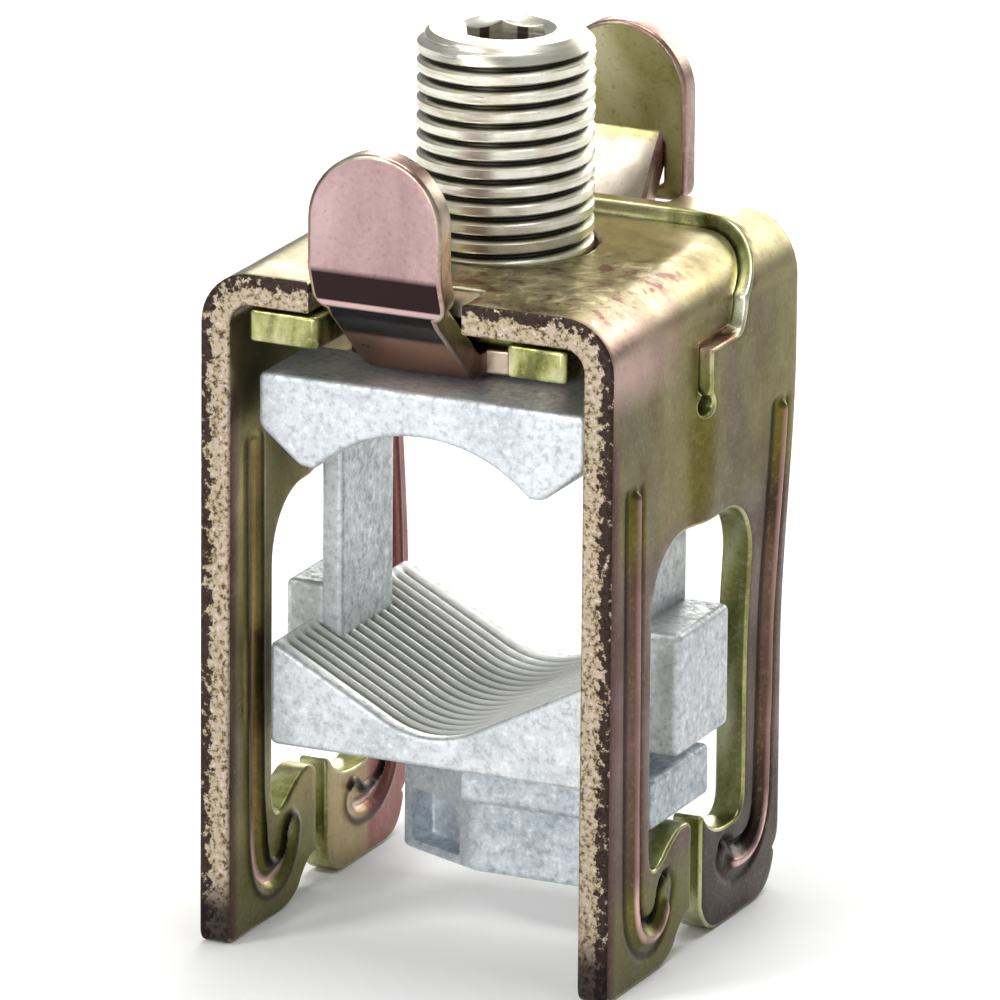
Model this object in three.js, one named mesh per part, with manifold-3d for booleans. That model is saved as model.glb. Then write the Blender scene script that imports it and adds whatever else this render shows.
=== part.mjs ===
// Frame clamp for round conductors: a bent sheet-steel frame with two hooked legs, a hex-socket clamp
// screw through its top, a hollowed aluminium pressure jaw on the screw, and an aluminium saddle and
// base block that sit between the legs. Millimetres, +Z up, screw axis on Z, conductor along Y, legs
// standing on z = 0 at x = -/+ frameWidth / 2.

import * as THREE from 'three';
import * as BufferGeometryUtils from 'three/addons/utils/BufferGeometryUtils.js';
import Module from 'manifold-3d';

const wasm = await Module();
wasm.setup();

// ---- driving dimensions -------------------------------------------------------------------------

const gap = 0.3;                      // clearance between pieces that touch

// frame
const sheet = 2.5;                    // sheet thickness
const frameWidth = 35.2;              // over the front band's legs
const frameFront = -18.2;             // front and rear edges of the sheet
const frameRear = 15;
const frameHeight = 55.2;             // top of the front band
const bendRadius = 4.2;               // outside of the bend
const rearStep = 1.0;                 // the rear band stands this far outside the front band
const stepFadeZ = 20;                 // and is flush again at this height
const seamY = 10.5;                   // seam behind the screw
const seamCorner = 6;                 // seam's corner radius, seen from above
const seamLegY = -1.7;                // seam on the legs, down to a relief hole
const seamJogZ = 49.2;
const reliefZ = 45.3;
const reliefRadius = 0.8;
const slit = 0.35;                    // width of the seam
const windowFront = -10.2;            // window in each leg
const windowRear = 7.9;
const windowTop = 34.8;
const windowCorner = 5.5;
const slotFront = -2.1;               // slot between the two prongs of a leg
const slotRear = -0.3;
const slotTopFront = 10.3;            // heights of the slot's open ends, between the two hook lips
const slotTopRear = 10.2;
const frontProng = [[-3.9, 2.9, -5.2, 1.2], [-6.2, 0, -8.4, 0]];   // inner end curves, as Y, Z pairs
const frontProngTop = 3.2;            // where the end curve leaves the slot's side
const frontProngCorner = 1.2;
const rearProng = { flat: 3.6, control: 0.8, top: 2.6 };
const rearToe = [[0, 4.6], [-0.9, 3.8], [-0.3, 2.9]];         // nick in the rear edge, from frameRear
const rearToeCurve = [-1, -4];        // control point and end of the rear prong's outer curve
const frontLip = [[-8, 8.6], [-4.8, 10.6]];                   // hook lips that close the window below
const rearLip = [[1.6, 8.6], [6, 8.2]];
const windowFoot = { front: 8.4, rear: 8.1, side: 10, round: 1.4 };
const frontNotch = { left: -8.3, right: 4.8, end: -14 };      // notches in the top for the strap
const rearNotch = { left: -4.8, right: 8.3, end: 12.5 };

// screw
const threadRadius = 7;
const threadPitch = 1.5;
const threadDepth = 0.9;
const leadIn = 0.8;                   // plain length at each end of the thread
const screwTop = 72.4;
const screwShoulder = 46.9;           // end of the thread, just over the jaw
const screwTip = 43.6;
const spigotRadius = 3.2;
const grooveRadius = 2.5;
const socketAcrossFlats = 6;
const socketDepth = 8;
const topChamfer = [0.3, 0.6];        // off the last crest, inward and down
const screwHole = 7.35;               // hole around the thread in plate, strap and frame
const ringBottom = 44.3;              // retaining ring in the spigot's groove
const ringTop = 45;
const ringOuter = 4.9;

// thread plate, under the frame's top
const plateTop = 52.4;
const plateBottom = 49.8;
const plateHalfWidth = 13.6;
const plateFront = -17.9;
const plateRear = 14.6;
const plateFrontNotch = { left: -7.6, right: 8.4, end: -10.4 };
const plateRearNotch = { left: -8.4, right: 7.6, end: 9.1 };

// retaining strap
const strapThickness = 2.2;
const strapPlane = 18.9;              // ears' middles stand this far in front of and behind the screw
const webMid = 48;                    // height of the web's middle
const webHalfWidth = 9.2;
const webRun = 8.5;                   // the necks meet the web inside this distance from the screw
const earWidth = 11.4;
const earCorner = 1.2;                // rounding of an ear's lower corners
const frontEar = { x: -1.9, bottom: 54, top: 66.7, plane: -strapPlane, neck: 9.4, neckX: -1.9 };
const rearEar = { x: 1.7, bottom: 54.6, top: 68.9, plane: strapPlane, neck: 7.6, neckX: 1.7 };
const frontFoot = [-17.7, 54];        // the front ear's foot is bent in to here
const frontFootTop = 57.2;
const rearTongueTop = 59.9;           // the rear neck is lanced from the ear at this height
const rearWindow = { bottom: 55.8, top: 59.2 };
const footRake = 0.3;                 // the foot's end and the neck's start lie this far in from the ear
const neckRake = 0.2;
const frontNeckRun = 2.4;             // each neck reaches the web's plane this far outside webRun
const rearNeckRun = 1.9;
const lap = 1;                        // length by which joined parts run into each other

// jaws
const jawFront = -15.3;
const jawRear = 12.7;
const jawTop = 46.6;
const jawHalfWidth = 14;
const jawFootZ = 39.3;                // points of the upper jaw's two feet
const jawFootX = 9.8;
const jawApexZ = 43;                  // top of its hollow
const jawFlankZ = 42.2;               // lower end of its upright sides
const jawToe = 0.6;                   // half width of each foot's flat
const slotClearance = 0.8;            // around the saddle's posts
const saddleFront = -13.7;
const saddleRear = 11.1;
const saddleHalfWidth = 13.7;
const saddleSideZ = 24.3;
const saddleValleyZ = 18.1;
const saddleBottom = 15.7;
const valleyRadius = 8;
const lugFront = -6.1;                // lugs and posts of the saddle
const lugRear = 3.6;
const lugBottom = 16.9;
const lugTop = 26.9;
const leftLug = -16;                  // outer ends of the lugs
const rightLug = 18.1;
const leftPost = [-12.9, -11.1];
const rightPost = [12, 14.4];
const postTop = 44.6;

// base block
const baseTop = 15.4;
const baseBottom = 5.2;
const baseFront = -6.9;
const baseRear = 3.9;
const baseLeft = -6.9;
const baseRight = 11.5;
const baseChamfer = [7.8, 3.4];       // cut off the front left corner, along X and Y
const rightArm = { front: -7.9, rear: 2.9, bottom: 11.2, reach: 16.8 };
const leftArm = { front: -1, rear: 3.9, bottom: 12.6, reach: 16.8 };
const pocketWall = 1.2;               // around the pocket in the chamfer
const pocketBottom = 6.1;
const pocketTop = 10.4;

// ---- helpers ------------------------------------------------------------------------------------

function solid(geometry) {
  const bare = geometry.index ? geometry.toNonIndexed() : geometry.clone();
  bare.deleteAttribute('normal');
  bare.deleteAttribute('uv');
  const merged = BufferGeometryUtils.mergeVertices(bare, 1e-4);
  return new wasm.Manifold(new wasm.Mesh({
    numProp: 3,
    vertProperties: new Float32Array(merged.attributes.position.array),
    triVerts: new Uint32Array(merged.index.array),
  }));
}

function geometryOf(body) {
  const mesh = body.getMesh();
  const geometry = new THREE.BufferGeometry();
  const positions = new Float32Array(mesh.vertProperties);
  geometry.setAttribute('position', new THREE.BufferAttribute(positions, 3));
  geometry.setIndex(new THREE.BufferAttribute(new Uint32Array(mesh.triVerts), 1));
  geometry.computeVertexNormals();
  return geometry;
}

function shapeOf(points) {
  return new THREE.Shape(points.map(([u, v]) => new THREE.Vector2(u, v)));
}

// An outline in X-Y, raised from z0 to z1.
function prismZ(shape, z0, z1, curveSegments = 12) {
  const options = { depth: z1 - z0, bevelEnabled: false, curveSegments };
  const geometry = new THREE.ExtrudeGeometry(shape, options);
  geometry.translate(0, 0, z0);
  return solid(geometry);
}

// An outline in X-Z, swept from y0 to y1.
function prismY(shape, y0, y1, curveSegments = 12) {
  const options = { depth: y1 - y0, bevelEnabled: false, curveSegments };
  const geometry = new THREE.ExtrudeGeometry(shape, options);
  geometry.rotateX(Math.PI / 2);
  geometry.translate(0, y1, 0);
  return solid(geometry);
}

// An outline in Y-Z, swept from x0 to x1.
function prismX(shape, x0, x1, curveSegments = 12) {
  const options = { depth: x1 - x0, bevelEnabled: false, curveSegments };
  const geometry = new THREE.ExtrudeGeometry(shape, options);
  geometry.applyMatrix4(new THREE.Matrix4().set(0, 0, 1, x0, 1, 0, 0, 0, 0, 1, 0, 0, 0, 0, 0, 1));
  return solid(geometry);
}

function block(x0, x1, y0, y1, z0, z1) {
  return prismZ(shapeOf([[x0, y0], [x1, y0], [x1, y1], [x0, y1]]), z0, z1);
}

function roundBar(radius, z0, z1, sides = 40) {
  const geometry = new THREE.CylinderGeometry(radius, radius, z1 - z0, sides);
  geometry.rotateX(Math.PI / 2);
  geometry.translate(0, 0, (z0 + z1) / 2);
  return solid(geometry);
}

function lathe(profile, sides) {
  const geometry = new THREE.LatheGeometry(profile.map(([r, z]) => new THREE.Vector2(r, z)), sides);
  geometry.rotateX(Math.PI / 2);
  return solid(geometry);
}

function mesh(name, body, color, roughness, metalness) {
  const material = new THREE.MeshStandardMaterial({ color, roughness, metalness });
  const piece = new THREE.Mesh(geometryOf(body), material);
  piece.name = name;
  return piece;
}

// ---- clamp_frame --------------------------------------------------------------------------------

// Section of one bent band in X-Z. lift moves it outward at the top; its legs run back in to the
// plain width at stepFadeZ.
function bandSection(lift, inset) {
  const half = frameWidth / 2 - inset;
  const top = frameHeight + lift - inset;
  const radius = bendRadius + lift - inset;
  const shape = new THREE.Shape();
  shape.moveTo(-half, -inset);
  shape.lineTo(half, -inset);
  shape.lineTo(half, stepFadeZ);
  shape.lineTo(half + lift, reliefZ);
  shape.absarc(half + lift - radius, top - radius, radius, 0, Math.PI / 2, false);
  shape.absarc(-half - lift + radius, top - radius, radius, Math.PI / 2, Math.PI, false);
  shape.lineTo(-half - lift, reliefZ);
  shape.lineTo(-half, stepFadeZ);
  return shape;
}

function band(lift) {
  const outer = prismY(bandSection(lift, 0), frameFront, frameRear);
  return outer.subtract(prismY(bandSection(lift, sheet), frameFront - 1, frameRear + 1));
}

// Everything in front of the seam, widened by grow.
function seamRegion(grow) {
  const far = frameWidth;
  const cornerX = frameWidth / 2 - seamCorner;
  const cornerY = seamY - seamCorner;
  const shape = new THREE.Shape();
  shape.moveTo(-far, frameFront - 1);
  shape.lineTo(far, frameFront - 1);
  shape.lineTo(far, cornerY + grow);
  shape.lineTo(cornerX + seamCorner + grow, cornerY);
  shape.absarc(cornerX, cornerY, seamCorner + grow, 0, Math.PI / 2, false);
  shape.absarc(-cornerX, cornerY, seamCorner + grow, Math.PI / 2, Math.PI, false);
  shape.lineTo(-far, cornerY + grow);
  const above = prismZ(shape, seamJogZ - grow, frameHeight + 5);
  const beside = block(-far, far, frameFront - 1, seamLegY + grow, -1, seamJogZ + 1);
  return above.add(beside);
}

// Side outline of a leg, with its window, hook pockets, slot and rounded prongs, in one closed line.
function legOutline() {
  const shape = new THREE.Shape();
  shape.moveTo(slotFront, frontProngTop);
  for (const curve of frontProng) {
    shape.quadraticCurveTo(...curve);
  }
  shape.lineTo(frameFront + frontProngCorner, 0);
  shape.quadraticCurveTo(frameFront, 0, frameFront, frontProngCorner);
  shape.lineTo(frameFront, frameHeight + 5);
  shape.lineTo(frameRear, frameHeight + 5);
  for (const [y, z] of rearToe) {
    shape.lineTo(frameRear + y, z);
  }
  shape.quadraticCurveTo(frameRear + rearToeCurve[0], 0, frameRear + rearToeCurve[1], 0);
  shape.lineTo(rearProng.flat, 0);
  shape.quadraticCurveTo(rearProng.control, 0, slotRear, rearProng.top);
  shape.lineTo(slotRear, slotTopRear);
  for (const point of rearLip) {
    shape.lineTo(...point);
  }
  const corner = windowTop - windowCorner;
  shape.quadraticCurveTo(windowRear, windowFoot.rear, windowRear, windowFoot.side);
  shape.lineTo(windowRear, corner);
  shape.absarc(windowRear - windowCorner, corner, windowCorner, 0, Math.PI / 2, false);
  shape.absarc(windowFront + windowCorner, corner, windowCorner, Math.PI / 2, Math.PI, false);
  shape.lineTo(windowFront, windowFoot.side);
  shape.quadraticCurveTo(windowFront, windowFoot.front, windowFront + windowFoot.round, windowFoot.front);
  for (const point of frontLip) {
    shape.lineTo(...point);
  }
  shape.lineTo(slotFront, slotTopFront);
  return shape;
}

function clampFrame() {
  const far = frameWidth;
  const inner = band(0).intersect(seamRegion(0));
  const inFront = seamRegion(slit).intersect(block(-far, far, -far, far, reliefZ, far * 2));
  const outer = band(rearStep).subtract(inFront);
  const rearOnly = block(-far, far, seamLegY - 0.3, far, -1, far * 2);
  const holes = [
    roundBar(screwHole, plateTop, frameHeight + 5),
    block(frontNotch.left, frontNotch.right, frameFront - 1, frontNotch.end, plateTop, frameHeight + 5),
    block(rearNotch.left, rearNotch.right, rearNotch.end, frameRear + 1, plateTop, frameHeight + 5),
  ];
  const relief = new THREE.Shape().absarc(seamLegY + slit / 2, reliefZ, reliefRadius, 0, 2 * Math.PI, false);
  let body = inner.add(outer.intersect(rearOnly)).intersect(prismX(legOutline(), -far, far, 8));
  body = body.subtract(prismX(relief, -far, far, 6));
  for (const hole of holes) {
    body = body.subtract(hole);
  }
  return body;
}

// ---- thread_plate -------------------------------------------------------------------------------

function threadPlate() {
  const [low, high] = [plateBottom - 1, plateTop + 1];
  const [front, rear] = [plateFrontNotch, plateRearNotch];
  return block(-plateHalfWidth, plateHalfWidth, plateFront, plateRear, plateBottom, plateTop)
    .subtract(roundBar(screwHole, low, high))
    .subtract(block(front.left, front.right, plateFront - 1, front.end, low, high))
    .subtract(block(rear.left, rear.right, rear.end, plateRear + 1, low, high));
}

// ---- retaining_strap ----------------------------------------------------------------------------

// Closed outline of a strip of the strap's thickness that follows a line of points, with mitred bends.
function ribbon(line) {
  const half = strapThickness / 2;
  const points = line.map(([u, v]) => new THREE.Vector2(u, v));
  const offsets = points.map((point, i) => {
    const next = Math.min(i + 1, points.length - 1);
    const ahead = points[next].clone().sub(points[next - 1]);
    const behind = points[Math.max(i, 1)].clone().sub(points[Math.max(i - 1, 0)]);
    const normal = ahead.normalize().add(behind.normalize());
    return new THREE.Vector2(-normal.y, normal.x).multiplyScalar(2 * half / normal.lengthSq());
  });
  const left = points.map((point, i) => point.clone().add(offsets[i]));
  const right = points.map((point, i) => point.clone().sub(offsets[i]));
  return new THREE.Shape([...left, ...right.reverse()]);
}

// Front outline of an ear in X-Z: rounded lower corners and a round top.
function earOutline(ear) {
  const half = earWidth / 2;
  const shape = new THREE.Shape();
  shape.moveTo(ear.x - half + earCorner, ear.bottom);
  shape.lineTo(ear.x + half - earCorner, ear.bottom);
  shape.quadraticCurveTo(ear.x + half, ear.bottom, ear.x + half, ear.bottom + earCorner);
  shape.absarc(ear.x, ear.top - half, half, 0, Math.PI, false);
  shape.lineTo(ear.x - half, ear.bottom + earCorner);
  shape.quadraticCurveTo(ear.x - half, ear.bottom, ear.x - half + earCorner, ear.bottom);
  return shape;
}

function neck(ear, line) {
  const half = ear.neck / 2;
  return prismX(ribbon(line), ear.neckX - half, ear.neckX + half);
}

function retainingStrap() {
  const half = strapThickness / 2;
  const far = frameWidth;
  const frontSide = ribbon([[frontEar.plane, frontEar.top + lap], [frontEar.plane, frontFootTop], frontFoot,
    [frontFoot[0] + footRake, frontEar.bottom - lap]]);
  const front = prismX(frontSide, -far, far).intersect(prismY(earOutline(frontEar), -far, far, 16));
  const frontNeck = neck(frontEar, [[frontEar.plane + neckRake, frontFootTop], frontFoot,
    [-webRun - frontNeckRun, webMid], [-webRun + lap, webMid]]);
  const rear = prismY(earOutline(rearEar), rearEar.plane - half, rearEar.plane + half, 16)
    .subtract(block(rearEar.neckX - rearEar.neck / 2, rearEar.neckX + rearEar.neck / 2, 0, far,
      rearWindow.bottom, rearWindow.top));
  const rearNeck = neck(rearEar, [[rearEar.plane, rearTongueTop + lap], [rearEar.plane, rearTongueTop],
    [webRun + rearNeckRun, webMid], [webRun - lap, webMid]]);
  const web = block(-webHalfWidth, webHalfWidth, -webRun, webRun, webMid - half, webMid + half);
  return web.add(front).add(frontNeck).add(rear).add(rearNeck)
    .subtract(roundBar(screwHole, webMid - strapThickness, webMid + strapThickness));
}

// ---- clamp_screw and screw_retaining_ring -------------------------------------------------------

function clampScrew() {
  const root = threadRadius - threadDepth;
  const profile = [[0, screwTip], [spigotRadius, screwTip], [spigotRadius, ringBottom - gap]];
  profile.push([grooveRadius, ringBottom - gap], [grooveRadius, ringTop + gap]);
  profile.push([spigotRadius, ringTop + gap], [spigotRadius, screwShoulder], [root, screwShoulder]);
  const first = screwShoulder + leadIn;
  const turns = Math.floor((screwTop - leadIn - first) / threadPitch);
  for (let i = 0; i < turns; i += 1) {
    profile.push([root, first + i * threadPitch], [threadRadius, first + (i + 0.5) * threadPitch]);
  }
  profile.push([root, first + turns * threadPitch]);
  profile.push([threadRadius - topChamfer[0], screwTop - topChamfer[1]]);
  profile.push([root, screwTop], [0, screwTop]);
  const acrossCorners = 2 * socketAcrossFlats / Math.sqrt(3);
  const key = new THREE.CylinderGeometry(acrossCorners / 2, acrossCorners / 2, socketDepth * 2, 6);
  key.rotateX(Math.PI / 2);
  key.rotateZ(Math.PI / 6);
  key.translate(0, 0, screwTop);
  return lathe(profile, 36).subtract(solid(key));
}

function retainingRing() {
  return roundBar(ringOuter, ringBottom, ringTop, 28)
    .subtract(roundBar(grooveRadius + gap, ringBottom - 1, ringTop + 1, 28));
}

// ---- upper_jaw ----------------------------------------------------------------------------------

function upperJaw() {
  const chord = jawFootX - jawToe;
  const rise = jawApexZ - jawFootZ;
  const radius = (chord * chord + rise * rise) / (2 * rise);
  const spread = Math.asin(chord / radius);
  const shape = new THREE.Shape();
  shape.moveTo(-jawHalfWidth, jawTop);
  shape.lineTo(-jawHalfWidth, jawFlankZ);
  shape.lineTo(-jawFootX - jawToe, jawFootZ);
  shape.lineTo(-chord, jawFootZ);
  shape.absarc(0, jawApexZ - radius, radius, Math.PI / 2 + spread, Math.PI / 2 - spread, true);
  shape.lineTo(jawFootX + jawToe, jawFootZ);
  shape.lineTo(jawHalfWidth, jawFlankZ);
  shape.lineTo(jawHalfWidth, jawTop);
  const far = frameWidth;
  const slotY = [lugFront - slotClearance, lugRear + slotClearance];
  return prismY(shape, jawFront, jawRear, 18)
    .subtract(block(-far, leftPost[1] + slotClearance, ...slotY, jawFootZ - 1, jawTop + 1))
    .subtract(block(rightPost[0] - slotClearance, far, ...slotY, jawFootZ - 1, jawTop + 1))
    .subtract(roundBar(spigotRadius + gap, jawFootZ, jawTop + 1, 28))
    .subtract(roundBar(ringOuter + 2 * gap, jawFootZ, ringTop + gap, 28));
}

// ---- lower_jaw ----------------------------------------------------------------------------------

function lowerJaw() {
  const rise = saddleSideZ - saddleValleyZ - valleyRadius;
  // the flanks are straight and tangent to the valley's arc
  const reach = Math.hypot(saddleHalfWidth, rise);
  const slope = Math.atan2(rise, saddleHalfWidth) + Math.asin(valleyRadius / reach);
  const touch = [valleyRadius * Math.sin(slope), saddleValleyZ + valleyRadius * (1 - Math.cos(slope))];
  const shape = new THREE.Shape();
  shape.moveTo(-saddleHalfWidth, saddleBottom);
  shape.lineTo(saddleHalfWidth, saddleBottom);
  shape.lineTo(saddleHalfWidth, saddleSideZ);
  shape.lineTo(...touch);
  const down = -Math.PI / 2;
  shape.absarc(0, saddleValleyZ + valleyRadius, valleyRadius, down + slope, down - slope, true);
  shape.lineTo(-saddleHalfWidth, saddleSideZ);
  const lugRoot = saddleHalfWidth - 1;
  return prismY(shape, saddleFront, saddleRear, 14)
    .add(block(leftLug, -lugRoot, lugFront, lugRear, lugBottom, lugTop))
    .add(block(lugRoot, rightLug, lugFront, lugRear, lugBottom, lugTop))
    .add(block(...leftPost, lugFront, lugRear, saddleBottom + 1, postTop))
    .add(block(...rightPost, lugFront, lugRear, saddleBottom + 1, postTop));
}

// ---- base_block ---------------------------------------------------------------------------------

function baseBlock() {
  const chamferX = baseLeft + baseChamfer[0];
  const chamferY = baseFront + baseChamfer[1];
  const plan = shapeOf([
    [baseLeft, baseRear],
    [baseLeft, chamferY],
    [chamferX, baseFront],
    [baseRight, baseFront],
    [baseRight, baseRear],
  ]);
  const pocket = shapeOf([
    [baseLeft + pocketWall, chamferY + pocketWall],
    [baseLeft + pocketWall, baseFront - 1],
    [chamferX - pocketWall, baseFront - 1],
    [chamferX - pocketWall, baseFront + 2 * pocketWall],
  ]);
  return prismZ(plan, baseBottom, baseTop)
    .add(block(0, rightArm.reach, rightArm.front, rightArm.rear, rightArm.bottom, baseTop))
    .add(block(-leftArm.reach, 0, leftArm.front, leftArm.rear, leftArm.bottom, baseTop))
    .subtract(prismZ(pocket, pocketBottom, pocketTop));
}

// ---- assembly -----------------------------------------------------------------------------------

const clamp = new THREE.Group();
clamp.add(mesh('clamp_frame', clampFrame(), 0x8f8456, 0.35, 1));
clamp.add(mesh('thread_plate', threadPlate(), 0x8b8a4c, 0.4, 1));
clamp.add(mesh('retaining_strap', retainingStrap(), 0xb58f93, 0.35, 1));
clamp.add(mesh('clamp_screw', clampScrew(), 0xc9c5ad, 0.3, 1));
clamp.add(mesh('screw_retaining_ring', retainingRing(), 0x8d8f90, 0.4, 1));
clamp.add(mesh('upper_jaw', upperJaw(), 0xd5d9dd, 0.55, 1));
clamp.add(mesh('lower_jaw', lowerJaw(), 0xcfd2d2, 0.55, 1));
clamp.add(mesh('base_block', baseBlock(), 0xd0d6db, 0.5, 1));

export default clamp;
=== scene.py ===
"""Visual model of the frame clamp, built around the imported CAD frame. Lengths are written in
millimetres and turned into metres where Blender takes them; +Z is up and the screw's axis is Z."""
import math

import bmesh
import bpy
import numpy as np
from mathutils import Matrix, Vector
from mathutils.geometry import delaunay_2d_cdt


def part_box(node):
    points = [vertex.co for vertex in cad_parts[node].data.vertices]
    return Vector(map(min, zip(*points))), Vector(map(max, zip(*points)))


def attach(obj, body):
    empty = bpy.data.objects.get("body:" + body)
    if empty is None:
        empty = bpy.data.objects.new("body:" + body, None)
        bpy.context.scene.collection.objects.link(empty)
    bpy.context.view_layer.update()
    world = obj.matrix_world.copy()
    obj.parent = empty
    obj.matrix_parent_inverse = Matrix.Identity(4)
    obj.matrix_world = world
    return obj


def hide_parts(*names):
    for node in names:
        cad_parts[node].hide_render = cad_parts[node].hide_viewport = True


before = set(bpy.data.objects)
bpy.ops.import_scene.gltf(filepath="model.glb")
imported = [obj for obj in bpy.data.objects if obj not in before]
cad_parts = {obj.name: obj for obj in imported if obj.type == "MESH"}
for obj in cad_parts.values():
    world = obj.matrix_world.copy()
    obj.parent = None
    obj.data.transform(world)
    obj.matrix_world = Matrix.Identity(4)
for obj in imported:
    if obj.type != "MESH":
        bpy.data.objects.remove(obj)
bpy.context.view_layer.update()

MM = 0.001


def box_mm(node):
    """Lowest and highest corner of a CAD node, in millimetres."""
    low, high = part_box(node)
    return np.array(low) / MM, np.array(high) / MM


# ---- driving dimensions, from the CAD boxes where they can be ---------------------------------------

frame_low, frame_high = box_mm("clamp_frame")
strap_low, strap_high = box_mm("retaining_strap")
plate_low, plate_high = box_mm("thread_plate")
screw_low, screw_high = box_mm("clamp_screw")
ring_low, ring_high = box_mm("screw_retaining_ring")
jaw_low, jaw_high = box_mm("upper_jaw")
saddle_low, saddle_high = box_mm("lower_jaw")
block_low, block_high = box_mm("base_block")

SHEET = 2.5
REAR_STEP = 1.0                     # the rear band stands this far outside the front band
HALF = frame_high[0] - REAR_STEP    # half width over the front band
TOP = frame_high[2] - REAR_STEP     # top of the front band
FRONT, REAR = frame_low[1], frame_high[1]
BEND = 4.2                          # outside bend radius
STEP_FADE = 20.0                    # the step has faded out at this height
SEAM_Y, SEAM_CORNER = 10.5, 6.0     # the seam over the top, and how far its corners are cut off
SEAM_LEG_Y, SEAM_JOG_Z = -1.7, 49.2     # the seam on the legs, and the height where it turns rearwards
RELIEF_Z, RELIEF_R = 45.3, 0.8      # the round hole that ends the seam
SLIT = 0.35                         # width of the seam
NOTCH_LONG, NOTCH_SHORT = 8.3, 4.8  # reach of the strap's notches to either side of the middle
NOTCH_FRONT, NOTCH_REAR = -14, 12.6
WINDOW_FRONT, WINDOW_REAR = -10.2, 7.9
WINDOW_TOP, WINDOW_CORNER = 34.8, 5.5
SLOT_FRONT, SLOT_REAR = -2.1, -0.3  # the gap between the two prongs
PRONG_TOP = 10.0                    # where the gap opens into the window
SCREW_HOLE = 7.35
THREAD_R = screw_high[0]
PITCH = 1.5


# ---- meshes -----------------------------------------------------------------------------------------

def make_object(name, vertices, faces, slots=None):
    """A smooth-shaded mesh object from millimetre vertices."""
    mesh = bpy.data.meshes.new(name)
    mesh.from_pydata((np.asarray(vertices) * MM).tolist(), [], faces)
    mesh.polygons.foreach_set("use_smooth", [True] * len(mesh.polygons))
    if slots is not None:
        mesh.polygons.foreach_set("material_index", slots)
    mesh.update()
    piece = bpy.data.objects.new(name, mesh)
    bpy.context.scene.collection.objects.link(piece)
    return piece


def arc(centre, radius, start, end, steps):
    """Points on an arc, angles in degrees, both ends included."""
    angles = np.radians(np.linspace(start, end, steps + 1))
    return [(centre[0] + radius * math.cos(a), centre[1] + radius * math.sin(a)) for a in angles]


def bezier(p0, p1, p2, steps):
    """Points on a quadratic curve, without its first point."""
    points = []
    for i in range(1, steps + 1):
        t = i / steps
        near, middle, far = (1 - t) ** 2, 2 * t * (1 - t), t * t
        points.append(tuple(near * a + middle * b + far * c for a, b, c in zip(p0, p1, p2)))
    return points


def curve(points, bend, end, steps):
    """Carries a line of points on to end, along a quadratic curve."""
    points += bezier(points[-1], bend, end, steps)


def grid(u, v):
    """All pairs of a u and a v."""
    return np.stack(np.meshgrid(u, v), -1).reshape(-1, 2)


def resample(points, spacing):
    """A closed outline with long edges divided, so that no edge is longer than spacing."""
    points = [np.array(p, float) for p in points]
    result = []
    for a, b in zip(points, points[1:] + points[:1]):
        length = np.linalg.norm(b - a)
        if length < 1e-4:
            continue
        count = max(1, int(math.ceil(length / spacing)))
        result.extend(a + (b - a) * i / count for i in range(count))
    return np.array(result)


def area(loop):
    """Positive for an outline that runs anticlockwise."""
    x, y = loop[:, 0], loop[:, 1]
    return 0.5 * float(np.sum(x * np.roll(y, -1) - np.roll(x, -1) * y))


def inward(loop):
    """Mitred offset direction into the material, which lies left of the loop."""
    ahead = np.roll(loop, -1, axis=0) - loop
    ahead /= np.linalg.norm(ahead, axis=1)[:, None]
    behind = np.roll(ahead, 1, axis=0)
    left_a = np.stack([-ahead[:, 1], ahead[:, 0]], 1)
    left_b = np.stack([-behind[:, 1], behind[:, 0]], 1)
    mean = left_a + left_b
    length = np.maximum(np.linalg.norm(mean, axis=1), 0.8)
    return mean * (2 / length ** 2)[:, None]


def inside(points, loops):
    """True for the points inside the outline and outside its holes."""
    result = np.zeros(len(points), bool)
    for loop in loops:
        for a, b in zip(loop, np.roll(loop, -1, axis=0)):
            crosses = (a[1] > points[:, 1]) != (b[1] > points[:, 1])
            if abs(b[1] - a[1]) > 1e-12:
                x = a[0] + (points[:, 1] - a[1]) * (b[0] - a[0]) / (b[1] - a[1])
                result ^= crosses & (points[:, 0] < x)
    return result


def clearance(points, loops):
    """Distance from each point to the nearest outline edge."""
    best = np.full(len(points), 1e9)
    for loop in loops:
        for a, b in zip(loop, np.roll(loop, -1, axis=0)):
            d = b - a
            t = np.clip(((points - a) @ d) / max(d @ d, 1e-12), 0, 1)
            best = np.minimum(best, np.linalg.norm(points - a - t[:, None] * d, axis=1))
    return best


def fill(loops, lattice, spare):
    """Fills an outline less its holes with triangles. Gives the points, the triangles and, for each
    point, the number of the outline point it is, or -1."""
    rim = np.concatenate(loops)
    edges, base = [], 0
    for loop in loops:
        edges += [(base + i, base + (i + 1) % len(loop)) for i in range(len(loop))]
        base += len(loop)
    points = rim
    if lattice is not None:
        lattice = lattice[inside(lattice, loops)]
        lattice = lattice[clearance(lattice, loops) > spare]
        points = np.concatenate([rim, lattice])
    out = delaunay_2d_cdt([Vector(p) for p in points], edges, [], 0, 1e-7)
    flat = np.array([(v.x, v.y) for v in out[0]])
    triangles = np.array([f for f in out[2] if len(f) == 3])
    triangles = triangles[inside(flat[triangles].mean(axis=1), loops)]
    return flat, triangles, [min(o) if o and min(o) < len(rim) else -1 for o in out[3]]


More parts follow.
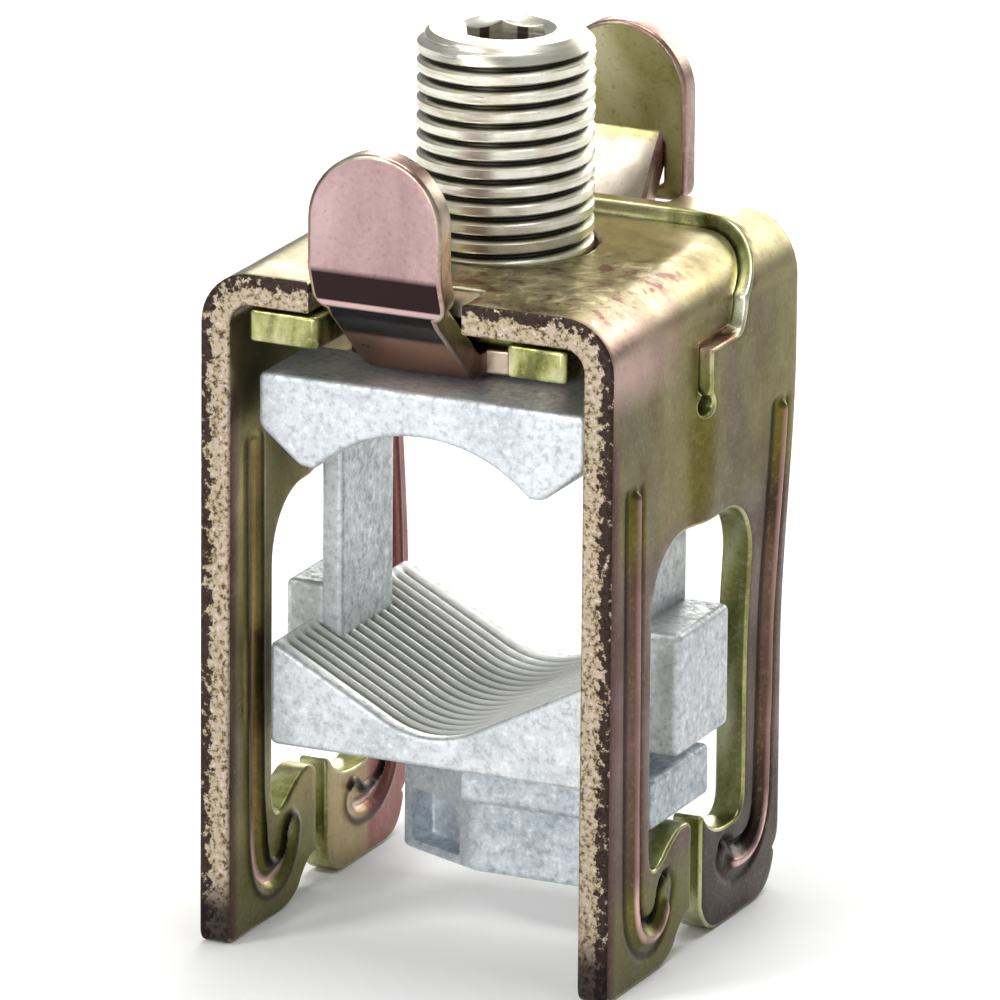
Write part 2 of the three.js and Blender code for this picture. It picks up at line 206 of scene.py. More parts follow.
def slab(name, loops, rows, place, lattice=None, spare=0.4):
    """A closed body with rounded edges. loops are outlines in (u, v), the first one outside and the rest
    holes; rows are (inset, t) pairs that carry the outline through the thickness; place turns arrays
    u, v, t into points. lattice holds extra (u, v) points for the two faces, which keep spare away from
    the outlines. Material 0 is on the faces and 1 on the walls."""
    loops = [np.asarray(loop) for loop in loops]
    loops = [loops[0] if area(loops[0]) > 0 else loops[0][::-1]] + [
        hole if area(hole) < 0 else hole[::-1] for hole in loops[1:]]
    normals = [inward(loop) for loop in loops]
    vertices, faces, depths, total = [], [], [], 0
    rims = ([], [])                 # vertex numbers along the outlines of the two faces
    for loop, normal in zip(loops, normals):
        count = len(loop)
        rims[0].extend(range(total, total + count))
        for row, (inset, t) in enumerate(rows):
            uv = loop + normal * inset
            vertices.append(place(uv[:, 0], uv[:, 1], np.full(count, t)))
            depths += [t] * count
            if row > 0:
                for i in range(count):
                    j = (i + 1) % count
                    faces.append((total - count + i, total + i, total + j, total - count + j))
            total += count
        rims[1].extend(range(total - count, total))
    walls = len(faces)
    face_loops = [loop + normal * rows[0][0] for loop, normal in zip(loops, normals)]
    flat, triangles, source = fill(face_loops, lattice, spare)
    for rim, t, order in ((rims[0], rows[0][1], [0, 1, 2]), (rims[1], rows[-1][1], [0, 2, 1])):
        index = np.array([rim[s] if s >= 0 else total + k for k, s in enumerate(source)])
        vertices.append(place(flat[:, 0], flat[:, 1], np.full(len(flat), t)))
        depths += [t] * len(flat)
        total += len(flat)
        faces += index[triangles[:, order]].tolist()
    slots = [1] * walls + [0] * (len(faces) - walls)
    piece = make_object(name, np.concatenate(vertices), faces, slots)
    measure(piece, "depth", depths)
    tidy_mesh(piece)
    return piece


def lying(z, up=1):
    """Lays a slab flat, with its depth running up from z, or down from it with up=-1."""
    def place(u, v, t):
        return np.stack([u, v, z + up * t], 1)

    return place


def standing(y):
    """Stands a slab up across the Y axis, with its depth running back from y."""
    def place(u, v, t):
        return np.stack([u, y + t, v], 1)

    return place


def measure(piece, name, values):
    """Stores one number for each vertex, which the piece's material reads."""
    attribute = piece.data.attributes.new(name, "FLOAT", "POINT")
    attribute.data.foreach_set("value", np.asarray(values, np.float32))


def vertices_of(piece):
    """Vertex positions in millimetres."""
    flat = np.zeros(len(piece.data.vertices) * 3, np.float32)
    piece.data.vertices.foreach_get("co", flat)
    return flat.reshape(-1, 3).astype(float) / MM


def tidy_mesh(piece, weld=1e-6):
    """Welds doubled vertices, drops loose ones and points all faces outwards."""
    work = bmesh.new()
    work.from_mesh(piece.data)
    bmesh.ops.delete(work, geom=[v for v in work.verts if not v.link_faces], context="VERTS")
    bmesh.ops.remove_doubles(work, verts=work.verts, dist=weld)
    bmesh.ops.dissolve_degenerate(work, dist=1e-7, edges=work.edges)
    bmesh.ops.triangulate(work, faces=[f for f in work.faces if len(f.verts) > 4])
    bmesh.ops.recalc_face_normals(work, faces=work.faces)
    work.to_mesh(piece.data)
    work.free()


def rounded_rows(depth, radius, steps=3, between=()):
    """(inset, t) rows with rounded edges at both faces, and any rows between them."""
    rows = []
    for i in range(steps + 1):
        a = math.pi / 2 * i / steps
        rows.append((radius * (1 - math.sin(a)), radius * (1 - math.cos(a))))
    rows += [(0.0, t) for t in between]
    rows += [(inset, depth - t) for inset, t in reversed(rows[:steps + 1])]
    return rows


def boolean(piece, others, operation):
    """Cuts or joins other meshes, which are then removed."""
    for other in others:
        modifier = piece.modifiers.new("cut", "BOOLEAN")
        modifier.operation = operation
        modifier.solver = "EXACT"
        modifier.object = other
    depsgraph = bpy.context.evaluated_depsgraph_get()
    mesh = bpy.data.meshes.new_from_object(piece.evaluated_get(depsgraph))
    piece.modifiers.clear()
    piece.data = mesh
    for other in others:
        bpy.data.objects.remove(other, do_unlink=True)
    tidy_mesh(piece)
    mesh.polygons.foreach_set("use_smooth", [True] * len(mesh.polygons))
    return piece


def crisp(piece, angle=35):
    """Keeps edges sharper than angle crisp, and flat faces flat."""
    mesh = piece.data
    mesh.set_sharp_from_angle(angle=math.radians(angle))
    modifier = piece.modifiers.new("flat_faces", "WEIGHTED_NORMAL")
    modifier.keep_sharp = True
    modifier.weight = 80
    for face in mesh.polygons:
        if max(abs(c) for c in face.normal) > 0.99995 and face.area > 2 * MM * MM:
            face.use_smooth = False
    return piece


def corner_curve(before, corner, after, radius, steps):
    """A corner of an outline, rounded."""
    before, corner, after = (np.array(p, float) for p in (before, corner, after))
    a, b = before - corner, after - corner
    reach = min(radius, 0.45 * np.linalg.norm(a), 0.45 * np.linalg.norm(b))
    points = [tuple(corner + a / np.linalg.norm(a) * reach)]
    curve(points, tuple(corner), tuple(corner + b / np.linalg.norm(b) * reach), steps)
    return points


def outline_round(points, radius, steps=4):
    """A closed outline with every corner rounded."""
    result = []
    for before, corner, after in zip(points[-1:] + points[:-1], points, points[1:] + points[:1]):
        result += corner_curve(before, corner, after, radius, steps)
    return result


def smoothstep(x):
    x = np.clip(x, 0, 1)
    return x * x * (3 - 2 * x)


# ---- clamp_frame ------------------------------------------------------------------------------------

FLAT_TOP = HALF - BEND                      # half length of the flat top
BEND_LENGTH = BEND * math.pi / 2
LEG_START = FLAT_TOP + BEND_LENGTH          # distance along the band where the leg begins
LEG_TOP_Z = TOP - BEND


def along(z):
    """Distance along the band of a height on the leg."""
    return LEG_START + LEG_TOP_Z - z


def leg_outline():
    """Edge of a leg in (y, z), from the front edge at the bend to the rear edge at the bend."""
    toe = 1.2
    points = [(FRONT, LEG_TOP_Z), (FRONT, toe)]
    curve(points, (FRONT, 0), (FRONT + toe, 0), 5)
    # the front prong: its foot, its side along the slot, and its top, which dips beside the leg
    points.append((-8.6, 0))
    curve(points, (-6.4, 0), (-5.2, 1.1), 6)
    curve(points, (-3.9, 3.0), (SLOT_FRONT, 3.2), 6)
    points.append((SLOT_FRONT, PRONG_TOP))
    curve(points, (-2.5, 10.9), (-4.4, 10.6), 4)
    curve(points, (-6.2, 10.0), (-7.3, 9.1), 4)
    curve(points, (-10.1, 7.4), (WINDOW_FRONT, 10.6), 6)
    corner_z = WINDOW_TOP - WINDOW_CORNER
    points += arc((WINDOW_FRONT + WINDOW_CORNER, corner_z), WINDOW_CORNER, 180, 90, 12)
    points += arc((WINDOW_REAR - WINDOW_CORNER, corner_z), WINDOW_CORNER, 90, 0, 12)
    # the rear prong: its top, its side along the slot, its foot, and a nick low in its rear edge
    points.append((WINDOW_REAR, 10))
    curve(points, (WINDOW_REAR, 8.0), (WINDOW_REAR - 2.2, 8.1), 5)
    curve(points, (2.0, 8.0), (0.6, 9.8), 6)
    curve(points, (0.1, 10.5), (SLOT_REAR, PRONG_TOP), 3)
    points.append((SLOT_REAR, 2.6))
    curve(points, (0.8, 0), (3.6, 0), 7)
    points.append((REAR - 4.6, 0))
    curve(points, (REAR - 1.8, 0.1), (REAR - 1.0, 2.2), 6)
    curve(points, (REAR - 0.5, 3.2), (REAR - 1.0, 3.5), 3)
    curve(points, (REAR, 4.0), (REAR, 5.4), 3)
    points.append((REAR, LEG_TOP_Z))
    return points


def notch(side, edge, floor):
    """A notch for the strap in the band's front or rear edge, with its two inner corners rounded."""
    near, far = -NOTCH_LONG * side, NOTCH_SHORT * side
    a, b, c, d = (near, edge), (near, floor), (far, floor), (far, edge)
    return [a] + corner_curve(a, b, c, 0.5, 4) + corner_curve(b, c, d, 0.5, 4) + [d]


def frame_loops():
    """Outlines of the unfolded band in (distance along the band, y)."""
    leg = leg_outline()
    right = [(along(z), y) for y, z in leg]
    left = [(-along(z), y) for y, z in reversed(leg)]
    outer = notch(1, FRONT, NOTCH_FRONT) + right + notch(-1, REAR, NOTCH_REAR) + left
    hole = arc((0, 0), SCREW_HOLE, 0, 360, 72)[:-1]
    return [resample(outer, 0.7), np.array(hole), resample(slit_outline(), 0.5)]


def seam_line():
    """Middle of the seam from the right relief hole over the top to the left one, unfolded."""
    jog, reach = along(SEAM_JOG_Z), LEG_START - 0.6
    corner_y = SEAM_Y - SEAM_CORNER
    half = [(along(RELIEF_Z), SEAM_LEG_Y), (jog, SEAM_LEG_Y), (jog, corner_y - 0.8)]
    curve(half, (jog - 0.2, corner_y), (reach, corner_y + 0.4), 4)
    curve(half, (reach - 3.5, SEAM_Y), (FLAT_TOP - 2.5, SEAM_Y), 10)
    return np.array(half + [(-s, y) for s, y in reversed(half)])


def slit_outline():
    """The seam as a thin closed slit that ends in a round relief hole on each leg."""
    line = seam_line()
    step = np.gradient(line, axis=0)
    step /= np.linalg.norm(step, axis=1)[:, None]
    side = np.stack([-step[:, 1], step[:, 0]], 1) * SLIT / 2
    front = [tuple(p) for p in line + side]
    back = [tuple(p) for p in (line - side)[::-1]]
    mouth = math.degrees(math.asin(SLIT / 2 / RELIEF_R))
    middle = along(RELIEF_Z) + RELIEF_R
    right_hole = arc((middle, SEAM_LEG_Y), RELIEF_R, 180 + mouth, 540 - mouth, 14)[::-1]
    left_hole = arc((-middle, SEAM_LEG_Y), RELIEF_R, mouth, 360 - mouth, 14)[::-1]
    return right_hole + front[1:-1] + left_hole + back[1:-1]


def bead_paths():
    """The two hooked beads of a leg in (y, z), each with the side its inner groove lies on."""
    front = [(-13.7, 40.2), (-13.5, 20), (-13.3, 7.4)]
    curve(front, (-13.1, 3.3), (-10.0, 3.2), 8)
    curve(front, (-7.6, 3.2), (-6.9, 6.2), 6)
    rear = [(12.2, 40.8), (12.0, 20), (11.6, 8.8)]
    curve(rear, (11.2, 5.2), (8.2, 4.6), 8)
    curve(rear, (5.4, 4.2), (4.4, 5.6), 5)
    return (np.array(front), 1.0), (np.array(rear), -1.0)


def path_distance(points, path):
    """Distance of each point from a path, positive on the path's right."""
    best = np.full(len(points), 1e9)
    signed = np.full(len(points), 1e9)
    for a, b in zip(path, path[1:]):
        d = b - a
        t = np.clip(((points - a) @ d) / (d @ d), 0, 1)
        off = points - a - t[:, None] * d
        length = np.linalg.norm(off, axis=1)
        turn = np.sign(off[:, 0] * d[1] - off[:, 1] * d[0])
        nearer = length < best
        best = np.where(nearer, length, best)
        signed = np.where(nearer, turn * length, signed)
    return signed


def bump(x):
    """A smooth hill of height 1 that is 0 from x = 1 outwards."""
    return np.where(np.abs(x) < 1, (1 - np.clip(np.abs(x), 0, 1) ** 2) ** 2, 0.0)


BEAD_HALF, RIDGE = 0.8, 0.55                # half width and height of a bead
GROOVE_AT = 1.35                            # distance of the two grooves beside it
GROOVE_LEG, GROOVE_HOOK = 0.22, 0.5         # depth of the inner groove, up the leg and in the hook
GROOVE_OUTSIDE = 0.2                        # depth of the outer one
HOOK_TOP, HOOK_BLEND = 12, 6                # the hook begins here, and is full this far below


def leg_relief(y, z):
    """Height of the pressed beads on a leg."""
    height = np.zeros(len(y))
    points = np.stack([y, z], 1)
    for path, side in bead_paths():
        away = path_distance(points, path) * -side
        top, end = path[0][1], path[-1]
        fade = np.where(z > top, 1 - smoothstep((z - top) / 1.4), 1.0)
        fade = fade * smoothstep(np.hypot(y - end[0], z - end[1]) / 1.7)
        hook = smoothstep((HOOK_TOP - z) / HOOK_BLEND)
        inner = GROOVE_LEG + (GROOVE_HOOK - GROOVE_LEG) * hook
        height += fade * (RIDGE * bump(away / BEAD_HALF) - GROOVE_OUTSIDE * bump((away + GROOVE_AT) / 0.55))
        height -= fade * inner * bump((away - GROOVE_AT) / 0.6)
    return height


def seam_height(s):
    """y of the seam at a distance along the band."""
    line = seam_line()
    order = np.argsort(line[:, 0], kind="stable")
    return np.interp(np.abs(s), line[order][:, 0], line[order][:, 1])


def behind_seam(s, y):
    """1 behind the seam, 0 in front of it."""
    far = np.abs(s)
    return np.where(far > along(SEAM_JOG_Z), y > SEAM_LEG_Y, y > seam_height(far)).astype(float)


def frame_place(s, y, t):
    """Folds the unfolded band: t is the depth under its outer face."""
    side = np.sign(s)
    far = np.abs(s)
    z_leg = LEG_TOP_Z - (far - LEG_START)
    above = behind_seam(s, y)
    blend = smoothstep((y - SEAM_LEG_Y + 2.2) / 3.6)
    fade = smoothstep((z_leg - STEP_FADE) / (RELIEF_Z - STEP_FADE))
    on_leg = z_leg < RELIEF_Z
    lift = REAR_STEP * np.where(on_leg, blend * fade, above)
    leg = far > LEG_START
    lift = lift + np.where(leg, leg_relief(y, z_leg), 0.0)
    angle = np.clip((far - FLAT_TOP) / BEND, 0, math.pi / 2)
    radius = BEND - t + lift
    x = np.minimum(far, FLAT_TOP) + np.sin(angle) * radius
    z = TOP - BEND + np.cos(angle) * radius - np.maximum(far - LEG_START, 0)
    return np.stack([x * np.where(side == 0, 1, side), y, z], 1)


def near_beads(points):
    """True for the points of the unfolded band, right of the middle, that are near a bead."""
    yz = np.stack([points[:, 1], LEG_TOP_Z - (points[:, 0] - LEG_START)], 1)
    return np.any([np.abs(path_distance(yz, path)) < 2.3 for path, _ in bead_paths()], axis=0)


def frame_lattice():
    """Points for the frame's faces: coarse on the flats, closer on the bends and along the beads."""
    end, bead_start = along(0), along(44)
    flats = grid(np.arange(-end, end, 0.9), np.arange(FRONT, REAR, 0.9))
    far = np.abs(flats[:, 0])
    coarse = [flats[(far < FLAT_TOP - 0.3) | (far > LEG_START + 0.3)]]
    for side in (-1, 1):
        bend = np.arange(FLAT_TOP, LEG_START + 0.01, BEND_LENGTH / 12) * side
        coarse.append(grid(bend, np.arange(FRONT, REAR, 0.8)))
    coarse = np.concatenate(coarse)
    far = np.abs(coarse[:, 0])
    coarse = coarse[~(near_beads(np.stack([far, coarse[:, 1]], 1)) & (far > bead_start))]
    fine = grid(np.arange(bead_start, end, 0.26), np.arange(FRONT, REAR, 0.24))
    fine = fine[near_beads(fine)]
    return np.concatenate([coarse, fine, fine * [-1, 1]])


def clamp_frame():
    piece = slab("clamp_frame_sheet", frame_loops(), rounded_rows(SHEET, 0.28, 3), frame_place,
                 frame_lattice(), 0.22)
    at = vertices_of(piece)
    on_leg = (np.abs(at[:, 0]) > HALF - SHEET - 1) & (at[:, 2] < LEG_TOP_Z)
    measure(piece, "relief", np.where(on_leg, leg_relief(at[:, 1], at[:, 2]), 0) / RIDGE)
    # only the walls along the front and rear edges are bare and torn, the others are chromated
    for face in piece.data.polygons:
        y = face.center.y / MM
        if face.material_index == 1 and FRONT + 0.35 < y < REAR - 1.2:
            face.material_index = 2
    crisp(piece, 50)
    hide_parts("clamp_frame")
    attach(piece, "frame")
    return piece


# ---- thread_plate -----------------------------------------------------------------------------------

PLATE_WAIST_FRONT, PLATE_WAIST_REAR = -10.4, 9.1
PLATE_LONG, PLATE_SHORT = 8.4, 7.6          # reach of the two waists to either side of the middle


def thread_plate():
    left, front, low = plate_low
    right, rear, high = plate_high
    outer = [(left, front), (-PLATE_SHORT, front), (-PLATE_SHORT, PLATE_WAIST_FRONT),
             (PLATE_LONG, PLATE_WAIST_FRONT), (PLATE_LONG, front), (right, front),
             (right, rear), (PLATE_SHORT, rear), (PLATE_SHORT, PLATE_WAIST_REAR),
             (-PLATE_LONG, PLATE_WAIST_REAR), (-PLATE_LONG, rear), (left, rear)]
    hole = arc((0, 0), SCREW_HOLE, 0, 360, 48)[:-1]
    piece = slab("thread_plate_body", [resample(outline_round(outer, 0.6), 2.5), np.array(hole)],
                 rounded_rows(high - low, 0.3, 3), lying(high, -1))
    crisp(piece)
    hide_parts("thread_plate")
    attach(piece, "frame")
    return piece


# ---- retaining_strap --------------------------------------------------------------------------------

STRAP = 2.2
STRAP_PLANE = strap_high[1] - STRAP / 2     # distance of the ears' middle plane from the screw's axis
WEB_MID = strap_low[2] + STRAP / 2
WEB_HALF = strap_high[0]
EAR_HALF = 5.7
FRONT_EAR_X, FRONT_EAR_TOP, FRONT_FOOT_TOP = -1.9, 66.7, 57.2
FRONT_FOOT = (-17.7, 54.0)                  # the front ear's foot is bent in to here
FRONT_NECK_HALF = 4.7
REAR_EAR_X, REAR_EAR_TOP, REAR_EAR_BOTTOM = 1.7, 68.9, 54.6
REAR_NECK_HALF = 3.8
REAR_TONGUE_TOP = 59.9                      # the rear neck is lanced from its ear at this height
REAR_WINDOW = (55.8, 59.4)


def rounded_line(corners, radius, steps=8):
    """A line of points with its inner corners rounded."""
    line = [np.array(corners[0], float)]
    for before, corner, after in zip(corners, corners[1:], corners[2:]):
        before, corner, after = (np.array(p, float) for p in (before, corner, after))
        a = (before - corner) / np.linalg.norm(before - corner)
        b = (after - corner) / np.linalg.norm(after - corner)
        half = math.acos(float(np.clip(a @ b, -1, 1))) / 2
        reach = radius / math.tan(half)
        centre = corner + (a + b) / np.linalg.norm(a + b) * radius / math.sin(half)
        first, last = corner + a * reach - centre, corner + b * reach - centre
        sweep = math.atan2(first[0] * last[1] - first[1] * last[0], first @ last)
        for i in range(steps + 1):
            angle = sweep * i / steps
            line.append(centre + (first[0] * math.cos(angle) - first[1] * math.sin(angle),
                                  first[0] * math.sin(angle) + first[1] * math.cos(angle)))
    line.append(np.array(corners[-1], float))
    return np.array(line)


def strap_spine():
    """Middle line of the strap in (y, z), from the front ear's top to the rear ear."""
    corners = [(-STRAP_PLANE, FRONT_EAR_TOP), (-STRAP_PLANE, FRONT_FOOT_TOP), FRONT_FOOT, (-10.9, WEB_MID),
               (10.4, WEB_MID), (STRAP_PLANE, REAR_TONGUE_TOP), (STRAP_PLANE, REAR_TONGUE_TOP + 1.4)]
    return rounded_line(corners, 1.5)


def strap_side(side, foot, web, total):
    """One long edge of the strap in (distance along it, x), from the front ear's top to the rear end."""
    x = {name: FRONT_EAR_X + side * reach for name, reach in (("ear", EAR_HALF), ("neck", FRONT_NECK_HALF))}
    rear = REAR_EAR_X + side * REAR_NECK_HALF
    top = arc((EAR_HALF, FRONT_EAR_X), EAR_HALF, 180, 90, 14)
    points = [(s, FRONT_EAR_X + side * (y - FRONT_EAR_X)) for s, y in top]
    points.append((foot - 1.3, x["ear"]))
    curve(points, (foot, x["ear"]), (foot + 0.2, x["neck"]), 5)
    points += [(web[0], x["neck"]), (web[0] + 0.8, side * WEB_HALF), (web[1] - 0.8, side * WEB_HALF)]
    return points + [(web[1], rear), (total, rear)]


def rear_ear():
    """The upright rear ear, with the window that its lanced tongue leaves."""
    left, right, low = REAR_EAR_X - EAR_HALF, REAR_EAR_X + EAR_HALF, REAR_EAR_BOTTOM
    corner = 1.2
    outline = [(right, low + corner)]
    outline += arc((REAR_EAR_X, REAR_EAR_TOP - EAR_HALF), EAR_HALF, 0, 180, 28)
    outline += bezier((left, low + corner), (left, low), (left + corner, low), 5)
    outline.append((right - corner, low))
    curve(outline, (right, low), (right, low + corner), 5)
    ends = (REAR_EAR_X - REAR_NECK_HALF, REAR_EAR_X + REAR_NECK_HALF)
    bottom, top = REAR_WINDOW
    window = outline_round([(ends[0], bottom), (ends[1], bottom), (ends[1], top), (ends[0], top)], 0.4)
    return slab("rear_ear", [resample(outline[:-1], 0.8), resample(window, 0.8)],
                rounded_rows(STRAP, 0.35, 4), standing(STRAP_PLANE - STRAP / 2))


def retaining_strap():
    spine = strap_spine()
    length = np.concatenate([[0], np.cumsum(np.linalg.norm(np.diff(spine, axis=0), axis=1))])
    total = length[-1]
    tangent = np.gradient(spine, length, axis=0)
    low = spine[:, 1] < WEB_MID + 5
    web = [float(np.interp(y, spine[:, 0][low], length[low])) for y in (-9.2, 9.0)]
    front_foot = np.abs(spine[:, 1] - FRONT_FOOT[1] - 0.2) + 100 * (spine[:, 0] > -17)
    foot = float(length[np.argmin(front_foot)])
    outline = strap_side(1, foot, web, total) + strap_side(-1, foot, web, total)[:0:-1]
    hole = arc((float(np.interp(0, spine[:, 0], length)), 0), SCREW_HOLE, 0, 360, 48)[:-1]

    def place(u, v, t):
        y, z = np.interp(u, length, spine[:, 0]), np.interp(u, length, spine[:, 1])
        ty, tz = np.interp(u, length, tangent[:, 0]), np.interp(u, length, tangent[:, 1])
        offset = (STRAP / 2 - t) / np.hypot(ty, tz)
        return np.stack([v, y - tz * offset, z + ty * offset], 1)

    lattice = grid(np.arange(0, total, 0.4), np.arange(-9, 9.1, 1.2))
    piece = slab("retaining_strap_body", [resample(outline, 0.5), np.array(hole)],
                 rounded_rows(STRAP, 0.35, 4), place, lattice, 0.25)
    boolean(piece, [rear_ear()], "UNION")
    crisp(piece, 40)
    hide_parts("retaining_strap")
    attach(piece, "frame")
    return piece


# ---- clamp_screw ------------------------------------------------------------------------------------

AROUND = 96                                 # points around the screw
SHOULDER = 46.9                             # where the thread ends and the spigot begins
TOP_EDGE = THREAD_R - 1.0                   # radius of the thread's chamfered top end
LOW_EDGE = TOP_EDGE - 0.2                   # and of its low end
ROOT = 0.66                                 # depth of the thread
# one turn of the thread: part of the pitch, and depth under the thread's radius
THREAD = [(0.0, ROOT), (0.08, 0.60), (0.2, 0.14), (0.29, 0.01), (0.71, 0.01), (0.8, 0.14), (0.92, 0.60)]
SOCKET, SOCKET_DEPTH = 3.0, 7.6             # half of the hexagon's 6 mm across flats, and its depth
MOUTH, MOUTH_SLOPE = 3.85, 0.75             # radius of the countersink, and its depth per mm inwards
SPIGOT, CLIP_GROOVE = 3.2, 2.5              # radii of the spigot and of the clip's groove
AXIS = 0.05                                 # radius of the small flat that closes a turned end


def thread_rings(angles):
    """The thread as rings that climb one pitch a turn and are cut off flat at both ends."""
    top = screw_high[2]
    rings = []
    for turn in range(-1, int((top - SHOULDER) / PITCH) + 2):
        for part, drop in THREAD:
            z = SHOULDER + (turn + part) * PITCH + angles / (2 * math.pi) * PITCH
            ends = np.minimum(TOP_EDGE + (top - z), LOW_EDGE + (z - SHOULDER))
            radius = np.maximum(np.minimum(THREAD_R - drop, ends), LOW_EDGE)
            radius = np.where(z >= top, TOP_EDGE, np.where(z <= SHOULDER, LOW_EDGE, radius))
            z = np.clip(z, SHOULDER, top)
            rings.append(np.stack([radius * np.cos(angles), radius * np.sin(angles), z], 1))
    return rings


def clamp_screw():
    """Right-hand thread, hex socket with a countersink, and a grooved spigot below."""
    top, tip = screw_high[2], screw_low[2]
    angles = np.arange(AROUND) * 2 * math.pi / AROUND
    rings = thread_rings(angles)
    faces = []
    for r in range(len(rings) - 1):
        for a in range(r * AROUND, (r + 1) * AROUND - 1):
            faces.append((a, a + 1, a + 1 + AROUND, a + AROUND))
        # the helix closes on itself one pitch up, so a ring's last face joins the ring above
        a, b = (r + 1) * AROUND - 1, (r + len(THREAD)) * AROUND
        if r + len(THREAD) + 1 < len(rings):
            faces.append((a, b, b + AROUND, a + AROUND))
    hexagon = SOCKET / np.cos(angles % (math.pi / 3) - math.pi / 6)
    seat = top - (MOUTH - hexagon) * MOUTH_SLOPE
    socket = [(TOP_EDGE, top), (MOUTH + 0.12, top), (MOUTH, top - 0.06), (hexagon + 0.05, seat),
              (hexagon, seat - 0.1), (hexagon, top - SOCKET_DEPTH), (AXIS, top - SOCKET_DEPTH - 0.4)]
    spigot = [(LOW_EDGE, SHOULDER), (SPIGOT + 0.3, SHOULDER), (SPIGOT, SHOULDER - 0.3),
              (SPIGOT, ring_high[2] + 0.3), (CLIP_GROOVE, ring_high[2] + 0.25),
              (CLIP_GROOVE, ring_low[2] - 0.25), (SPIGOT, ring_low[2] - 0.3),
              (SPIGOT, tip + 0.2), (SPIGOT - 0.2, tip), (AXIS, tip)]
    for chain in (socket, spigot):
        base = len(rings) * AROUND
        for radius, z in chain:
            radius, z = np.broadcast_to(radius, AROUND), np.broadcast_to(z, AROUND)
            rings.append(np.stack([radius * np.cos(angles), radius * np.sin(angles), z], 1))
        for start in range(base, base + (len(chain) - 1) * AROUND, AROUND):
            for i in range(AROUND):
                a, b = start + i, start + (i + 1) % AROUND
                faces.append((a, b, b + AROUND, a + AROUND))
        faces.append(tuple(range((len(rings) - 1) * AROUND, len(rings) * AROUND)))
    piece = make_object("clamp_screw_body", np.concatenate(rings), faces)
    tidy_mesh(piece, 2e-6)
    at = vertices_of(piece)
    radius, z = np.hypot(at[:, 0], at[:, 1]), at[:, 2]
    # relief: depth in the thread groove, and 0.8 in the socket; the material paints both dark as painted
    # shade
    groove = np.clip((THREAD_R - radius) / ROOT, 0, 1) * (z < top - 1.1) * (z > SHOULDER + 0.3)
    in_socket = (radius < MOUTH - 0.25) & (z < top - 0.7)
    measure(piece, "relief", np.where(in_socket, 0.8, groove))
    crisp(piece, 32)
    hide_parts("clamp_screw")
    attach(piece, "screw")
    return piece


def retaining_ring():
    """An open clip in the spigot's groove."""
    points = arc((0, 0), ring_high[0], 20, 340, 40) + arc((0, 0), CLIP_GROOVE + 0.35, 335, 25, 30)
    piece = slab("screw_retaining_clip", [np.array(points)],
                 rounded_rows(ring_high[2] - ring_low[2], 0.12, 2), lying(ring_high[2], -1))
    crisp(piece)
    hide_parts("screw_retaining_ring")
    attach(piece, "screw")
    return piece


# ---- jaws and block ---------------------------------------------------------------------------------

LUG_FRONT, LUG_REAR = -6.1, 3.6
LUG_BOTTOM, LUG_TOP = 16.9, 26.9
LEFT_POST, RIGHT_POST = (-12.9, -11.1), (12.0, 14.4)
SLOT_CLEARANCE = 0.8                        # around the posts, in the upper jaw
JAW_FOOT, JAW_SIDE_Z, JAW_APEX_Z = 9.8, 42.2, 43.0
BORE, POCKET, POCKET_TOP = 3.5, 5.4, 45.3   # the spigot's bore and the clip's pocket, in the upper jaw


def rounded_block(name, low, high, radius=0.4, steps=3):
    """A box with all edges rounded."""
    low, high = np.array(low, float), np.array(high, float)
    outline = outline_round([(low[0], low[1]), (high[0], low[1]), (high[0], high[1]), (low[0], high[1])],
                            radius, steps)
    return slab(name, [np.array(outline)], rounded_rows(high[2] - low[2], radius, steps), lying(low[2]))


def cylinder(name, radius, z0, z1):
    outline = np.array(arc((0, 0), radius, 0, 360, 48)[:-1])
    return slab(name, [outline], [(0, 0), (0, z1 - z0)], lying(z0))


def upper_jaw():
    half, foot_z, top = jaw_high[0], jaw_low[2], jaw_high[2]
    chord, rise = JAW_FOOT - 0.6, JAW_APEX_Z - foot_z
    radius = (chord ** 2 + rise ** 2) / (2 * rise)
    spread = math.degrees(math.asin(chord / radius))
    hollow = arc((0, JAW_APEX_Z - radius), radius, 90 + spread, 90 - spread, 28)
    corners = [(half, top), (-half, top), (-half, JAW_SIDE_Z), (-JAW_FOOT - 0.6, foot_z), (-chord, foot_z),
               (chord, foot_z), (JAW_FOOT + 0.6, foot_z), (half, JAW_SIDE_Z)]
    steps = 4
    rounded = outline_round(corners, 0.6, steps)
    # the hollow takes the place of the two corners that end it
    profile = rounded[:4 * (steps + 1)] + hollow + rounded[6 * (steps + 1):]
    piece = slab("upper_jaw_body", [resample(profile, 1.6)], rounded_rows(jaw_high[1] - jaw_low[1], 0.45, 4),
                 standing(jaw_low[1]))
    cutters = []
    for x in ((-half - 3, LEFT_POST[1] + SLOT_CLEARANCE), (RIGHT_POST[0] - SLOT_CLEARANCE, half + 3)):
        cutters.append(rounded_block("slot_cutter", (x[0], LUG_FRONT - SLOT_CLEARANCE, foot_z - 2),
                                     (x[1], LUG_REAR + SLOT_CLEARANCE, top + 2), 0.5))
    cutters.append(cylinder("bore_cutter", BORE, foot_z, top + 2))
    cutters.append(cylinder("pocket_cutter", POCKET, foot_z, POCKET_TOP))
    boolean(piece, cutters, "DIFFERENCE")
    crisp(piece, 40)
    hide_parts("upper_jaw")
    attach(piece, "jaw")
    return piece


SADDLE_HALF = 13.7
SADDLE_SIDE_Z, SADDLE_VALLEY_Z, VALLEY_R = 24.3, 18.1, 8.0
RIB_PITCH, RIB_DEPTH = 1.4, 0.34
RIB_PARTS = (0.0, 0.12, 0.25, 0.38, 0.5, 0.62, 0.75, 0.88)      # places of the mesh rows in one rib


